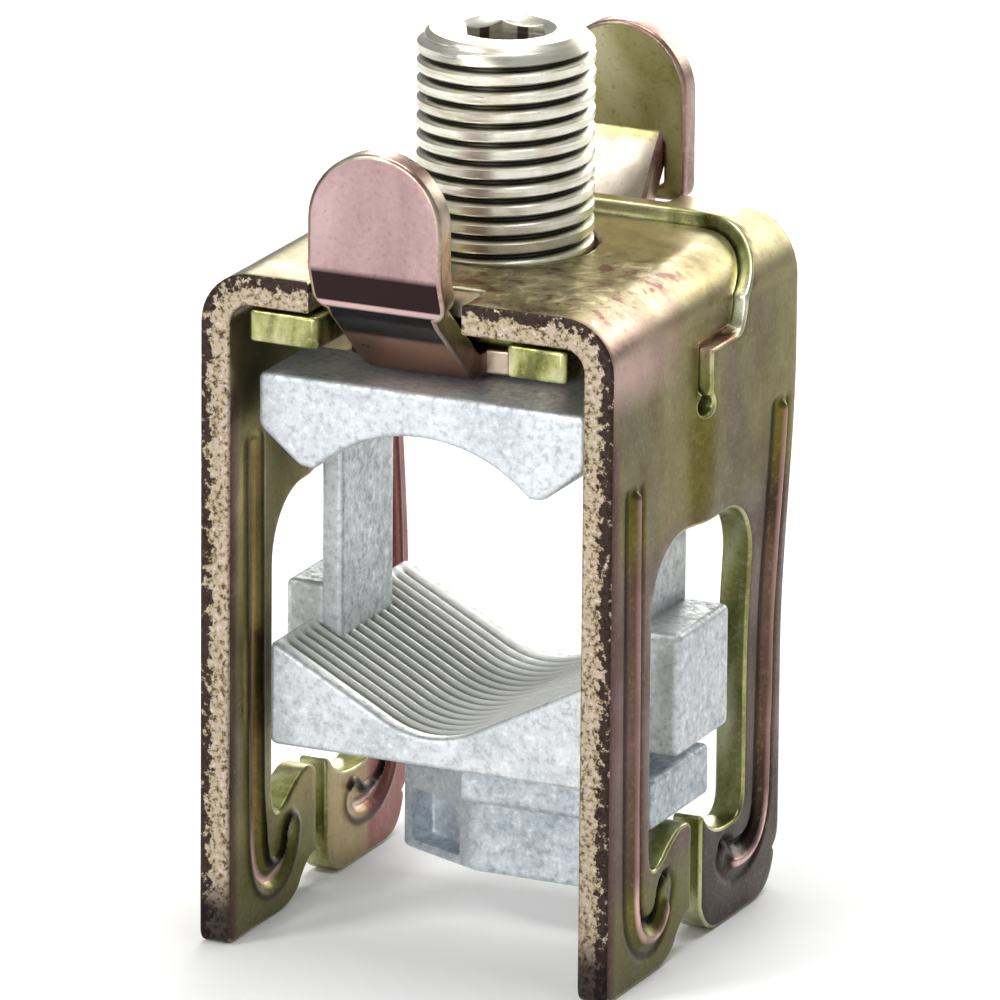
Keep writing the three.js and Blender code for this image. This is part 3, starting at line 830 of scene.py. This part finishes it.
def saddle_surface(x):
    """Height of the saddle's valley: a round bottom with straight flanks."""
    rise = SADDLE_SIDE_Z - SADDLE_VALLEY_Z - VALLEY_R
    slope = math.atan2(rise, SADDLE_HALF) + math.asin(VALLEY_R / math.hypot(SADDLE_HALF, rise))
    touch = VALLEY_R * math.sin(slope)
    far = np.abs(x)
    low = SADDLE_VALLEY_Z + VALLEY_R - np.sqrt(VALLEY_R ** 2 - np.minimum(far, touch) ** 2)
    return low + np.maximum(far - touch, 0) * math.tan(slope)


def lower_jaw():
    half = SADDLE_HALF
    bottom, front, rear = saddle_low[2], saddle_low[1], saddle_high[1]
    across = np.linspace(half - 0.5, -half + 0.5, 56)
    top_line = list(zip(across.tolist(), saddle_surface(across).tolist()))
    edge_z = top_line[0][1]
    side = [(0.12, edge_z - 0.05), (0, edge_z - 0.5), (0, bottom + 0.5), (0.15, bottom + 0.15), (0.5, bottom)]
    profile = [(-half + x, z) for x, z in side] + [(half - x, z) for x, z in reversed(side)] + top_line
    depth = rear - front
    ribs = int((depth - 1.6) / RIB_PITCH)
    first = (depth - ribs * RIB_PITCH) / 2
    between = [first + (k + part) * RIB_PITCH for k in range(ribs) for part in RIB_PARTS]
    between.append(first + ribs * RIB_PITCH)

    def place(u, v, t):
        on_top = smoothstep(1.6 - np.abs(v - saddle_surface(u)) / 0.25)
        on_top = on_top * smoothstep((half - 0.35 - np.abs(u)) / 0.4)
        phase = np.clip((t - first) / RIB_PITCH, 0, ribs)
        groove = 0.5 - 0.5 * np.cos(2 * math.pi * phase)
        return np.stack([u, front + t, v - RIB_DEPTH * on_top * groove ** 0.8], 1)

    piece = slab("lower_jaw_body", [np.array(profile)], rounded_rows(depth, 0.4, 3, between), place)
    parts = []
    for x in ((saddle_low[0], -half + 1.2), (half - 1.2, saddle_high[0])):
        parts.append(rounded_block("lug", (x[0], LUG_FRONT, LUG_BOTTOM), (x[1], LUG_REAR, LUG_TOP), 0.55, 4))
    for x in (LEFT_POST, RIGHT_POST):
        # a hair inside the lugs' faces, so that no two faces of the join lie in one plane
        parts.append(rounded_block("post", (x[0], LUG_FRONT + 0.06, bottom + 1),
                                   (x[1], LUG_REAR - 0.06, saddle_high[2]), 0.4, 3))
    boolean(piece, parts, "UNION")
    at = vertices_of(piece)
    above = at[:, 2] - saddle_surface(at[:, 0])
    ribbed = (np.abs(at[:, 0]) < half - 0.2) & (above < 0.06) & (above > -RIB_DEPTH - 0.1)
    ribbed &= (at[:, 1] > front + 0.5) & (at[:, 1] < rear - 0.5)
    # every ribbed upward face gets at least 0.12, which the material paints lighter as painted light; deeper
    # grooves get painted shade
    groove = np.where(ribbed, np.clip(-above / RIB_DEPTH, 0.12, 1), 0)
    # by face corner, so that the posts' and lugs' upright faces stay plain
    values = [groove[v] * (face.normal.z > 0.3) for face in piece.data.polygons for v in face.vertices]
    relief = piece.data.attributes.new("relief", "FLOAT", "CORNER")
    relief.data.foreach_set("value", np.array(values, np.float32))
    crisp(piece, 40)
    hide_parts("lower_jaw")
    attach(piece, "saddle")
    return piece


BLOCK_LEFT, BLOCK_RIGHT, BLOCK_FRONT = -6.9, 11.5, -6.9
CHAMFER_X, CHAMFER_Y = 7.8, 3.4             # the block's cut-off front left corner
RIGHT_ARM_BOTTOM, RIGHT_ARM_REAR = 11.2, 2.9
LEFT_ARM_BOTTOM, LEFT_ARM_FRONT = 12.6, -1
POCKET_WALL, POCKET_LOW, POCKET_SPRING, POCKET_HIGH = 1.2, 6.1, 8.4, 10.4
POCKET_DEPTH = 2.2


def block_pocket():
    """Cutter for the pocket in the chamfered corner, which has an arched top."""
    width = math.hypot(CHAMFER_X, CHAMFER_Y)
    run, inwards = np.array((CHAMFER_X, -CHAMFER_Y)) / width, np.array((CHAMFER_Y, CHAMFER_X)) / width
    corner = np.array((BLOCK_LEFT, BLOCK_FRONT + CHAMFER_Y))
    end = width - 1.6
    arch = [(POCKET_WALL, POCKET_LOW), (end, POCKET_LOW), (end, POCKET_SPRING)]
    curve(arch, (width - 1.7, POCKET_HIGH), (width - 3.6, POCKET_HIGH), 6)
    arch.append((POCKET_WALL, POCKET_HIGH))

    def place(u, v, t):
        at = corner + np.outer(u, run) + np.outer(t - 1, inwards)
        return np.stack([at[:, 0], at[:, 1], v], 1)

    return slab("pocket_cutter", [np.array(outline_round(arch, 0.35, 3))],
                rounded_rows(POCKET_DEPTH + 1, 0.3, 3), place)


def base_block():
    left, front, bottom = block_low
    right, rear, top = block_high
    plan = [(BLOCK_LEFT, rear), (BLOCK_LEFT, BLOCK_FRONT + CHAMFER_Y), (BLOCK_LEFT + CHAMFER_X, BLOCK_FRONT),
            (BLOCK_RIGHT, BLOCK_FRONT), (BLOCK_RIGHT, rear)]
    piece = slab("base_block_body", [np.array(outline_round(plan, 0.7, 4))],
                 rounded_rows(top - bottom, 0.5, 4), lying(bottom))
    arms = [rounded_block("right_arm", (0, front, RIGHT_ARM_BOTTOM), (right, RIGHT_ARM_REAR, top), 0.5, 4),
            rounded_block("left_arm", (left, LEFT_ARM_FRONT, LEFT_ARM_BOTTOM), (0, rear, top), 0.4, 3)]
    boolean(piece, arms, "UNION")
    boolean(piece, [block_pocket()], "DIFFERENCE")
    crisp(piece, 40)
    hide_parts("base_block")
    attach(piece, "base")
    return piece


# ---- materials --------------------------------------------------------------------------------------

class Nodes:
    """Short hand for building one material's node tree."""

    def __init__(self, name):
        self.material = bpy.data.materials.new(name)
        self.material.use_nodes = True
        self.tree = self.material.node_tree
        self.shader = self.tree.nodes["Principled BSDF"]
        self.place = self.node("ShaderNodeTexCoord").outputs["Object"]

    def node(self, kind, **values):
        made = self.tree.nodes.new(kind)
        for key, value in values.items():
            if key in made.inputs:
                made.inputs[key].default_value = value
            else:
                setattr(made, key, value)
        return made

    def link(self, source, target):
        self.tree.links.new(source, target)

    def noise(self, scale, detail=3.0, roughness=0.5, distortion=0.0, stretch=(1, 1, 1), offset=(0, 0, 0)):
        """Noise of about a given number of features per metre, with its place scaled and moved."""
        mapping = self.node("ShaderNodeMapping", Scale=stretch, Location=offset)
        self.link(self.place, mapping.inputs["Vector"])
        made = self.node("ShaderNodeTexNoise", Scale=scale, Detail=detail, Roughness=roughness,
                         Distortion=distortion)
        self.link(mapping.outputs["Vector"], made.inputs["Vector"])
        return made.outputs["Fac"]

    def ramp(self, source, stops):
        made = self.node("ShaderNodeValToRGB")
        elements = made.color_ramp.elements
        while len(elements) < len(stops):
            elements.new(0.5)
        for element, (position, colour) in zip(elements, stops):
            element.position = position
            element.color = (*colour, 1) if isinstance(colour, tuple) else (colour, colour, colour, 1)
        self.link(source, made.inputs["Fac"])
        return made.outputs["Color"]

    def mix(self, factor, a, b, blend="MIX"):
        made = self.node("ShaderNodeMix", data_type="RGBA", blend_type=blend)
        for value, socket in ((factor, made.inputs[0]), (a, made.inputs[6]), (b, made.inputs[7])):
            if isinstance(value, bpy.types.NodeSocket):
                self.link(value, socket)
            elif isinstance(value, tuple):
                socket.default_value = (*value, 1)
            else:
                socket.default_value = value
        return made.outputs[2]

    def math(self, operation, a, b):
        """a is a socket; b is a socket or a number."""
        made = self.node("ShaderNodeMath", operation=operation)
        self.link(a, made.inputs[0])
        if isinstance(b, bpy.types.NodeSocket):
            self.link(b, made.inputs[1])
        else:
            made.inputs[1].default_value = b
        return made.outputs[0]

    def bump(self, source, distance, normal=None):
        made = self.node("ShaderNodeBump", Distance=distance)
        self.link(source, made.inputs["Height"])
        if normal is not None:
            self.link(normal, made.inputs["Normal"])
        return made.outputs["Normal"]

    def attribute(self, name):
        return self.node("ShaderNodeAttribute", attribute_name=name).outputs["Fac"]

    def zone(self, bands):
        """1 inside all the bands, 0 outside. A band is (axis, where it starts, where it is full)."""
        split = self.node("ShaderNodeSeparateXYZ")
        self.link(self.place, split.inputs["Vector"])
        factor = None
        for axis, start, full in bands:
            made = self.node("ShaderNodeMapRange", clamp=True)
            self.link(split.outputs[axis], made.inputs["Value"])
            made.inputs["From Min"].default_value = start * MM
            made.inputs["From Max"].default_value = full * MM
            band = made.outputs["Result"]
            factor = band if factor is None else self.math("MULTIPLY", factor, band)
        return factor

    def over(self, colour, tint, source, stops):
        """Lays a tint over a colour, as strongly as the ramp gives."""
        return self.mix(self.ramp(source, stops), colour, tint)

    def patch(self, colour, tint, bands, strength):
        """Lays a tint over a colour where the bands are."""
        return self.mix(self.math("MULTIPLY", self.zone(bands), strength), colour, tint)

    def finish(self, colour, metallic, roughness, normal=None):
        """Ends the material with its colour, how metallic it is, its roughness and its bumps."""
        self.link(colour, self.shader.inputs["Base Color"])
        self.shader.inputs["Metallic"].default_value = metallic
        self.link(roughness, self.shader.inputs["Roughness"])
        if normal is not None:
            self.link(normal, self.shader.inputs["Normal"])
        return self.material


def chromate(name, tones, roughness=(0.26, 0.46), scale=55, streak=(0.11, 0.060, 0.026), crest=None,
             zones=(), covers=(), sparks=None, pale=0.16):
    """Yellow-chromated zinc: a thin film whose colour wanders between olive, gold, green and pink.
    With crest, the raised beads get a painted highlight in the crest colour and the grooves beside them
    painted shade. zones lists (bands, colour or tones, strength): parts of the surface with another film
    colour, and parts with painted light and shade. covers is the same without speckle, and sparks are
    the bands with gold and dark-red sparkle."""
    n = Nodes(name)
    film = n.noise(scale, 4, 0.55, 0.8, (1, 1, 0.5))
    streaks = n.noise(scale * 2.4, 5, 0.62, 0.3, (1, 1, 0.22), (0.3, 0.1, 0))
    colour = n.over(n.ramp(film, tones), streak, streaks, [(0.46, 0.0), (0.66, 0.5)])
    for bands, tint, strength in zones:
        colour = n.patch(colour, n.ramp(film, tint) if isinstance(tint, list) else tint, bands, strength)
    speckle = n.noise(2100, 3, 0.7)
    colour = n.over(colour, (0.56, 0.50, 0.32), speckle, [(0.36, pale), (0.46, 0.0)])
    colour = n.over(colour, (0.045, 0.03, 0.018), speckle, [(0.56, 0.0), (0.78, 0.45)])
    for bands, tint, strength in covers:
        colour = n.patch(colour, tint, bands, strength)
    if sparks is not None:
        flakes, where = n.noise(620, 3, 0.6, 0.5), n.zone(sparks)
        for tint, stops in (((0.17, 0.03, 0.03), [(0.54, 0.0), (0.62, 0.75)]),
                            ((0.86, 0.78, 0.52), [(0.36, 0.7), (0.44, 0.0)])):
            colour = n.mix(n.math("MULTIPLY", where, n.ramp(flakes, stops)), colour, tint)
    if crest is not None:
        # painted highlight on the beads' crests, broken up by noise
        relief, highlight_breakup = n.attribute("relief"), n.noise(500, 3, 0.6, 0, (1, 1, 0.15))
        raised = n.ramp(relief, [(0.5, 0.0), (0.9, 1.0)])
        crest_highlight = n.math("MULTIPLY", raised, n.ramp(highlight_breakup, [(0.35, 0.35), (0.65, 1.0)]))
        colour = n.mix(crest_highlight, colour, crest)
        # painted shade in the grooves beside the beads
        colour = n.over(colour, (0.008, 0.005, 0.005), n.math("MULTIPLY", relief, -1.0),
                        [(0.05, 0.0), (0.3, 0.75), (0.7, 0.97)])
        # the beads' hooked ends get the brightest painted highlight
        colour = n.mix(n.math("MULTIPLY", crest_highlight, n.zone([("Z", 9.5, 7.0)])), colour, (0.72, 0.48, 0.44))
    grain = n.bump(n.noise(140, 3, 0.5), 0.0001, n.bump(n.noise(900, 4, 0.65), 0.00002))
    gloss = n.ramp(n.noise(240, 4, 0.6), [(0.3, roughness[0]), (0.7, roughness[1])])
    return n.finish(colour, 1.0, gloss, grain)


def sheared_edge(name):
    """The cut edge of the sheet: a fine cream, gold and pink grain, torn and dark towards its outer side."""
    n = Nodes(name)
    colour = n.ramp(n.noise(2600, 3, 0.6), [
        (0.34, (0.10, 0.06, 0.04)), (0.43, (0.30, 0.23, 0.14)), (0.52, (0.46, 0.40, 0.27)),
        (0.60, (0.45, 0.33, 0.29)), (0.70, (0.60, 0.54, 0.44))])
    # "depth" runs from 0 at the sheet's outer face to SHEET at its inner face
    depth = n.math("MULTIPLY", n.attribute("depth"), 1 / SHEET)
    outer = n.ramp(depth, [(0.12, 0.38), (0.32, 0.30), (0.55, 0.09)])
    torn = n.ramp(n.math("ADD", outer, n.noise(1500, 4, 0.62)), [(0.74, 0.0), (0.80, 0.95)])
    colour = n.mix(torn, colour, (0.026, 0.014, 0.013))
    colour = n.patch(colour, (0.015, 0.010, 0.012), [("Z", 6.0, 3.0)], 0.9)
    pits = n.noise(2300, 2, 0.6, 0.2, (1, 1, 0.7))
    colour = n.over(colour, (0.06, 0.035, 0.02), pits, [(0.6, 0.0), (0.68, 0.8)])
    roughness = n.ramp(torn, [(0.2, 0.36), (0.8, 0.6)])
    return n.finish(colour, 0.9, roughness, n.bump(n.noise(1100, 4, 0.7), 0.0001))


def cast_metal(name, light, dark, groove=None):
    """Frosted cast aluminium. Where groove gives a colour, the ribbed top is painted lighter as painted
    light, and its grooves are painted darker in that colour as painted shade.
    """
    n = Nodes(name)
    colour = n.ramp(n.noise(170, 4, 0.6), [(0.34, dark), (0.6, light)])
    sparkle = n.noise(1500, 3, 0.7)
    colour = n.over(colour, tuple(0.6 * c for c in dark), sparkle, [(0.5, 0.0), (0.68, 0.6)])
    colour = n.over(colour, (0.84, 0.87, 0.90), sparkle, [(0.32, 0.6), (0.44, 0.0)])
    if groove is not None:
        relief = n.attribute("relief")
        # painted light on the ribbed top, then painted shade in its grooves
        colour = n.over(colour, (0.93, 0.94, 0.90), relief, [(0.02, 0.0), (0.1, 0.8)])
        colour = n.over(colour, groove, relief, [(0.15, 0.0), (0.5, 0.3), (0.9, 0.85)])
    return n.finish(colour, 0.6, n.ramp(sparkle, [(0.35, 0.42), (0.65, 0.62)]), n.bump(sparkle, 0.00005))


def bright_zinc(name):
    """The screw: bright zinc, faintly yellow, with turning marks, and painted shade in the thread grooves and
    the hex socket.
    """
    n = Nodes(name)
    colour = n.ramp(n.noise(220, 4, 0.6, 0.5),
                    [(0.3, (0.70, 0.64, 0.48)), (0.5, (0.92, 0.90, 0.80)), (0.7, (0.80, 0.79, 0.58))])
    marks = n.noise(900, 4, 0.6, 0, (0.2, 0.2, 4))
    colour = n.over(colour, (0.34, 0.30, 0.20), marks, [(0.45, 0.0), (0.7, 0.35)])
    # painted shade in the thread grooves and the socket
    colour = n.over(colour, (0.03, 0.027, 0.02), n.attribute("relief"),
                    [(0.28, 0.0), (0.6, 0.65), (0.9, 0.96)])
    return n.finish(colour, 1.0, n.ramp(marks, [(0.3, 0.26), (0.7, 0.44)]), n.bump(marks, 0.00002))


def spring_steel(name):
    n = Nodes(name)
    colour = n.ramp(n.noise(500, 3), [(0.3, (0.16, 0.16, 0.17)), (0.7, (0.34, 0.33, 0.31))])
    return n.finish(colour, 1.0, n.ramp(n.noise(700, 3), [(0.3, 0.3), (0.7, 0.5)]))


def paint(piece, *materials):
    """Puts the materials in the piece's slots. Faces past the last slot take the last material."""
    indices = [0] * len(piece.data.polygons)
    piece.data.polygons.foreach_get("material_index", indices)
    piece.data.materials.clear()
    for material in materials:
        piece.data.materials.append(material)
    last = len(materials) - 1
    piece.data.polygons.foreach_set("material_index", [min(i, last) for i in indices])


# ---- scene ------------------------------------------------------------------------------------------

AZIMUTH, ELEVATION, DISTANCE = 24.8, 17.0, 1.0
FOCAL = 456.7
ROLL = 0.5                                  # of the camera, in degrees
AIM = (-0.0002, 0.0037)                     # camera offset to its right and up, in metres


def camera():
    data = bpy.data.cameras.new("camera")
    data.lens = FOCAL
    data.clip_start, data.clip_end = 0.05, 20
    eye = bpy.data.objects.new("camera", data)
    bpy.context.scene.collection.objects.link(eye)
    a, e = math.radians(AZIMUTH), math.radians(ELEVATION)
    back = Vector((math.sin(a) * math.cos(e), -math.cos(a) * math.cos(e), math.sin(e)))
    right = Vector((math.cos(a), math.sin(a), 0))
    up = back.cross(right)
    target = Vector((0, 0, 0.030)) + right * AIM[0] + up * AIM[1]
    pose = Matrix((right, up, back)).transposed().to_4x4() @ Matrix.Rotation(math.radians(ROLL), 4, "Z")
    eye.matrix_world = Matrix.Translation(target + back * DISTANCE) @ pose
    bpy.context.scene.camera = eye


def area_light(name, position, target, size, power, colour=(1, 1, 1)):
    data = bpy.data.lights.new(name, "AREA")
    data.shape = "RECTANGLE"
    data.size, data.size_y = size
    data.energy = power
    data.color = colour
    lamp = bpy.data.objects.new(name, data)
    bpy.context.scene.collection.objects.link(lamp)
    lamp.location = position
    direction = Vector(target) - Vector(position)
    lamp.rotation_euler = direction.to_track_quat("-Z", "Y").to_euler()


def stage():
    vertices = [(-3, -3, 0), (3, -3, 0), (3, 3, 0), (-3, 3, 0)]
    mesh = bpy.data.meshes.new("floor")
    mesh.from_pydata(vertices, [], [(0, 1, 2, 3)])
    floor = bpy.data.objects.new("floor", mesh)
    bpy.context.scene.collection.objects.link(floor)
    n = Nodes("floor_paint")
    n.shader.inputs["Base Color"].default_value = (0.93, 0.93, 0.93, 1)
    n.shader.inputs["Roughness"].default_value = 0.9
    n.shader.inputs["Specular IOR Level"].default_value = 0.1
    mesh.materials.append(n.material)
    world = bpy.data.worlds.new("studio")
    world.use_nodes = True
    world.node_tree.nodes["Background"].inputs["Color"].default_value = (0.95, 0.97, 1.0, 1)
    world.node_tree.nodes["Background"].inputs["Strength"].default_value = 0.27
    bpy.context.scene.world = world
    area_light("key", (-0.06, -0.66, 0.22), (0, 0, 0.03), (0.30, 0.26), 2.2)
    area_light("fill", (-0.33, -0.46, 0.58), (0, 0, 0.04), (0.16, 0.16), 1.9, (1, 0.98, 0.94))
    area_light("side", (0.55, -0.30, 0.30), (0, 0, 0.04), (0.10, 0.40), 0.15)
    area_light("top", (0.0, 0.10, 0.65), (0, 0, 0.03), (0.35, 0.35), 2.8)
    area_light("back", (-0.03, 0.72, 0.27), (0, 0, 0.04), (0.76, 0.30), 4.0, (1, 0.98, 0.92))
    bpy.context.scene.view_settings.view_transform = "Standard"


# OLIVE is kept dark as painted shade, standing for the dark surroundings the legs' outer faces reflect; zones
# below paint the top and inner faces lighter
OLIVE = [(0.30, (0.060, 0.046, 0.010)), (0.42, (0.105, 0.088, 0.018)), (0.52, (0.150, 0.130, 0.028)),
         (0.62, (0.140, 0.110, 0.028)), (0.72, (0.130, 0.080, 0.034))]
# GOLD: tones for the frame's top, partly painted light
GOLD = [(0.30, (0.22, 0.15, 0.06)), (0.42, (0.40, 0.33, 0.16)), (0.52, (0.48, 0.43, 0.25)),
        (0.62, (0.42, 0.29, 0.21)), (0.72, (0.34, 0.13, 0.12))]
BROWN = [(0.32, (0.040, 0.020, 0.018)), (0.5, (0.090, 0.052, 0.040)), (0.66, (0.150, 0.088, 0.082))]
PINK = [(0.3, (0.32, 0.20, 0.20)), (0.46, (0.46, 0.31, 0.31)), (0.58, (0.52, 0.37, 0.37)),
        (0.70, (0.46, 0.36, 0.31))]
GREEN = [(0.32, (0.09, 0.10, 0.03)), (0.46, (0.24, 0.25, 0.08)), (0.56, (0.42, 0.42, 0.18)),
         (0.7, (0.64, 0.63, 0.42))]
LEAF = [(0.32, (0.16, 0.15, 0.05)), (0.46, (0.36, 0.34, 0.14)), (0.56, (0.52, 0.50, 0.26)),
        (0.7, (0.70, 0.66, 0.46))]
# INNER: lighter tones for the legs' inner faces, painted light
INNER = [(0.32, (0.10, 0.075, 0.02)), (0.46, (0.26, 0.21, 0.07)), (0.56, (0.36, 0.31, 0.13)),
         (0.7, (0.30, 0.18, 0.12))]
# SEAM: painted highlights and dark reflections for the walls of the seam's step
SEAM = [(0.34, (0.14, 0.15, 0.04)), (0.44, (0.62, 0.64, 0.36)), (0.54, (0.90, 0.88, 0.70)),
        (0.64, (0.36, 0.06, 0.05))]
RIM = [(0.3, (0.20, 0.10, 0.09)), (0.46, (0.38, 0.24, 0.20)), (0.58, (0.52, 0.44, 0.34)),
       (0.7, (0.68, 0.64, 0.50))]

# the bands that hold the legs' inner faces and their outer faces
INSIDE_LEFT = [("X", -17.2, -16.6), ("X", 0.0, -4.0)]
INSIDE_RIGHT = [("X", 17.2, 16.6), ("X", 0.0, 4.0)]
OUTSIDE_LEFT, OUTSIDE_RIGHT = ("X", -16.2, -17.0), ("X", 16.2, 17.0)
LEG_ZONES = [
    # painted light: the legs' inner faces are painted lighter than their darker outer faces
    (INSIDE_LEFT, INNER, 1.0),
    (INSIDE_RIGHT, INNER, 1.0),
    # a maroon strip at the rear of the left leg's inner face
    ([*INSIDE_LEFT, ("Y", 7.0, 7.8)], (0.26, 0.09, 0.09), 0.9),
    # gold on the top, partly the film's colour and partly painted light that makes the top lighter than the
    # legs, duller at its left end, and a painted pink highlight at the front of the right bend
    ([("Z", 51.0, 53.5)], GOLD, 0.9),
    ([("Z", 51.0, 54.0), ("X", 0.0, -8.0)], (0.20, 0.17, 0.075), 0.75),
    ([("X", 14.0, 16.5), ("Y", -4.0, -12.0), ("Z", 47.0, 50.0)], (0.60, 0.38, 0.37), 0.55),
    # purple-brown down the legs, olive again at the front prongs' ends and darker on the rear prong
    ([OUTSIDE_RIGHT, ("Z", 37.0, 33.0)], BROWN, 0.9),
    ([OUTSIDE_LEFT, ("Z", 37.0, 33.0)], BROWN, 0.9),
    ([("Z", 9.5, 6.5), ("Y", 0.0, -2.0)], (0.125, 0.115, 0.026), 0.9),
    ([("Y", -1.2, -0.4), OUTSIDE_RIGHT, ("Z", 14.0, 10.0)], (0.035, 0.024, 0.018), 0.8),
    # dark red along the front corner
    ([("Y", -16.3, -17.2), ("Z", 47.0, 45.0)], (0.065, 0.012, 0.011), 0.85)]
# down the strap's front: a painted dark reflection where it is bent in, a painted highlight at the foot's
# end, then painted shadow and copper;
# the rear neck is cream and the rear ear green and gold
STRAP_FRONT = ("Y", 0.0, -2.0)
STRAP_ZONES = [([("Y", 9.5, 10.5), ("Y", 17.6, 17.0)], (0.46, 0.42, 0.36), 0.9),
               ([("Y", 17.0, 17.6)], LEAF, 0.95)]
# painted light on the strap's front: a dark reflection, a highlight line and a shadow band, then copper
STRAP_COVERS = [([STRAP_FRONT, ("Z", 57.3, 56.8)], (0.03, 0.016, 0.018), 1.0),
                ([STRAP_FRONT, ("Z", 54.45, 54.3)], (0.66, 0.46, 0.44), 0.9),
                ([STRAP_FRONT, ("Z", 54.0, 53.8)], (0.010, 0.008, 0.008), 1.0),
                ([STRAP_FRONT, ("Z", 51.3, 50.8)], (0.40, 0.24, 0.17), 1.0)]

camera()
stage()

# crest is the colour of the painted highlight on the beads' crests
frame_metal = chromate("frame_chromate", OLIVE, crest=(0.36, 0.21, 0.19), zones=LEG_ZONES, pale=0.08,
                       sparks=[("Z", 54.0, 54.6), ("Y", 4.0, -2.0), ("X", -1.0, 2.0)])
edge_metal = sheared_edge("sheared_edge")
# the seam's walls get the painted highlights and dark reflections of SEAM
inner_metal = chromate("window_chromate", GREEN, scale=110, streak=(0.10, 0.06, 0.035), pale=0.3,
                       zones=[([("Z", 47.0, 50.0)], SEAM, 0.95)])
strap_metal = chromate("strap_chromate", PINK, (0.26, 0.44), 90, streak=(0.46, 0.32, 0.32), zones=STRAP_ZONES,
                       covers=STRAP_COVERS, pale=0.2)
strap_edge = chromate("strap_edge_chromate", RIM, (0.25, 0.45), 200, streak=(0.45, 0.32, 0.28), pale=0.3)
plate_metal = chromate("plate_chromate", GREEN, (0.25, 0.45), 300, streak=(0.08, 0.07, 0.03), pale=0.3)
jaw_metal = cast_metal("jaw_aluminium", (0.68, 0.715, 0.745), (0.52, 0.56, 0.60))
# groove is the colour of the painted shade in the saddle's ribs
saddle_metal = cast_metal("saddle_aluminium", (0.66, 0.685, 0.70), (0.52, 0.55, 0.57),
                          groove=(0.22, 0.22, 0.19))
block_metal = cast_metal("block_aluminium", (0.58, 0.63, 0.67), (0.42, 0.47, 0.52))
screw_metal = bright_zinc("screw_zinc")
ring_metal = spring_steel("ring_steel")

paint(clamp_frame(), frame_metal, edge_metal, inner_metal)
paint(thread_plate(), plate_metal)
paint(retaining_strap(), strap_metal, strap_edge)
paint(clamp_screw(), screw_metal)
paint(retaining_ring(), ring_metal)
paint(upper_jaw(), jaw_metal)
paint(lower_jaw(), saddle_metal)
paint(base_block(), block_metal)
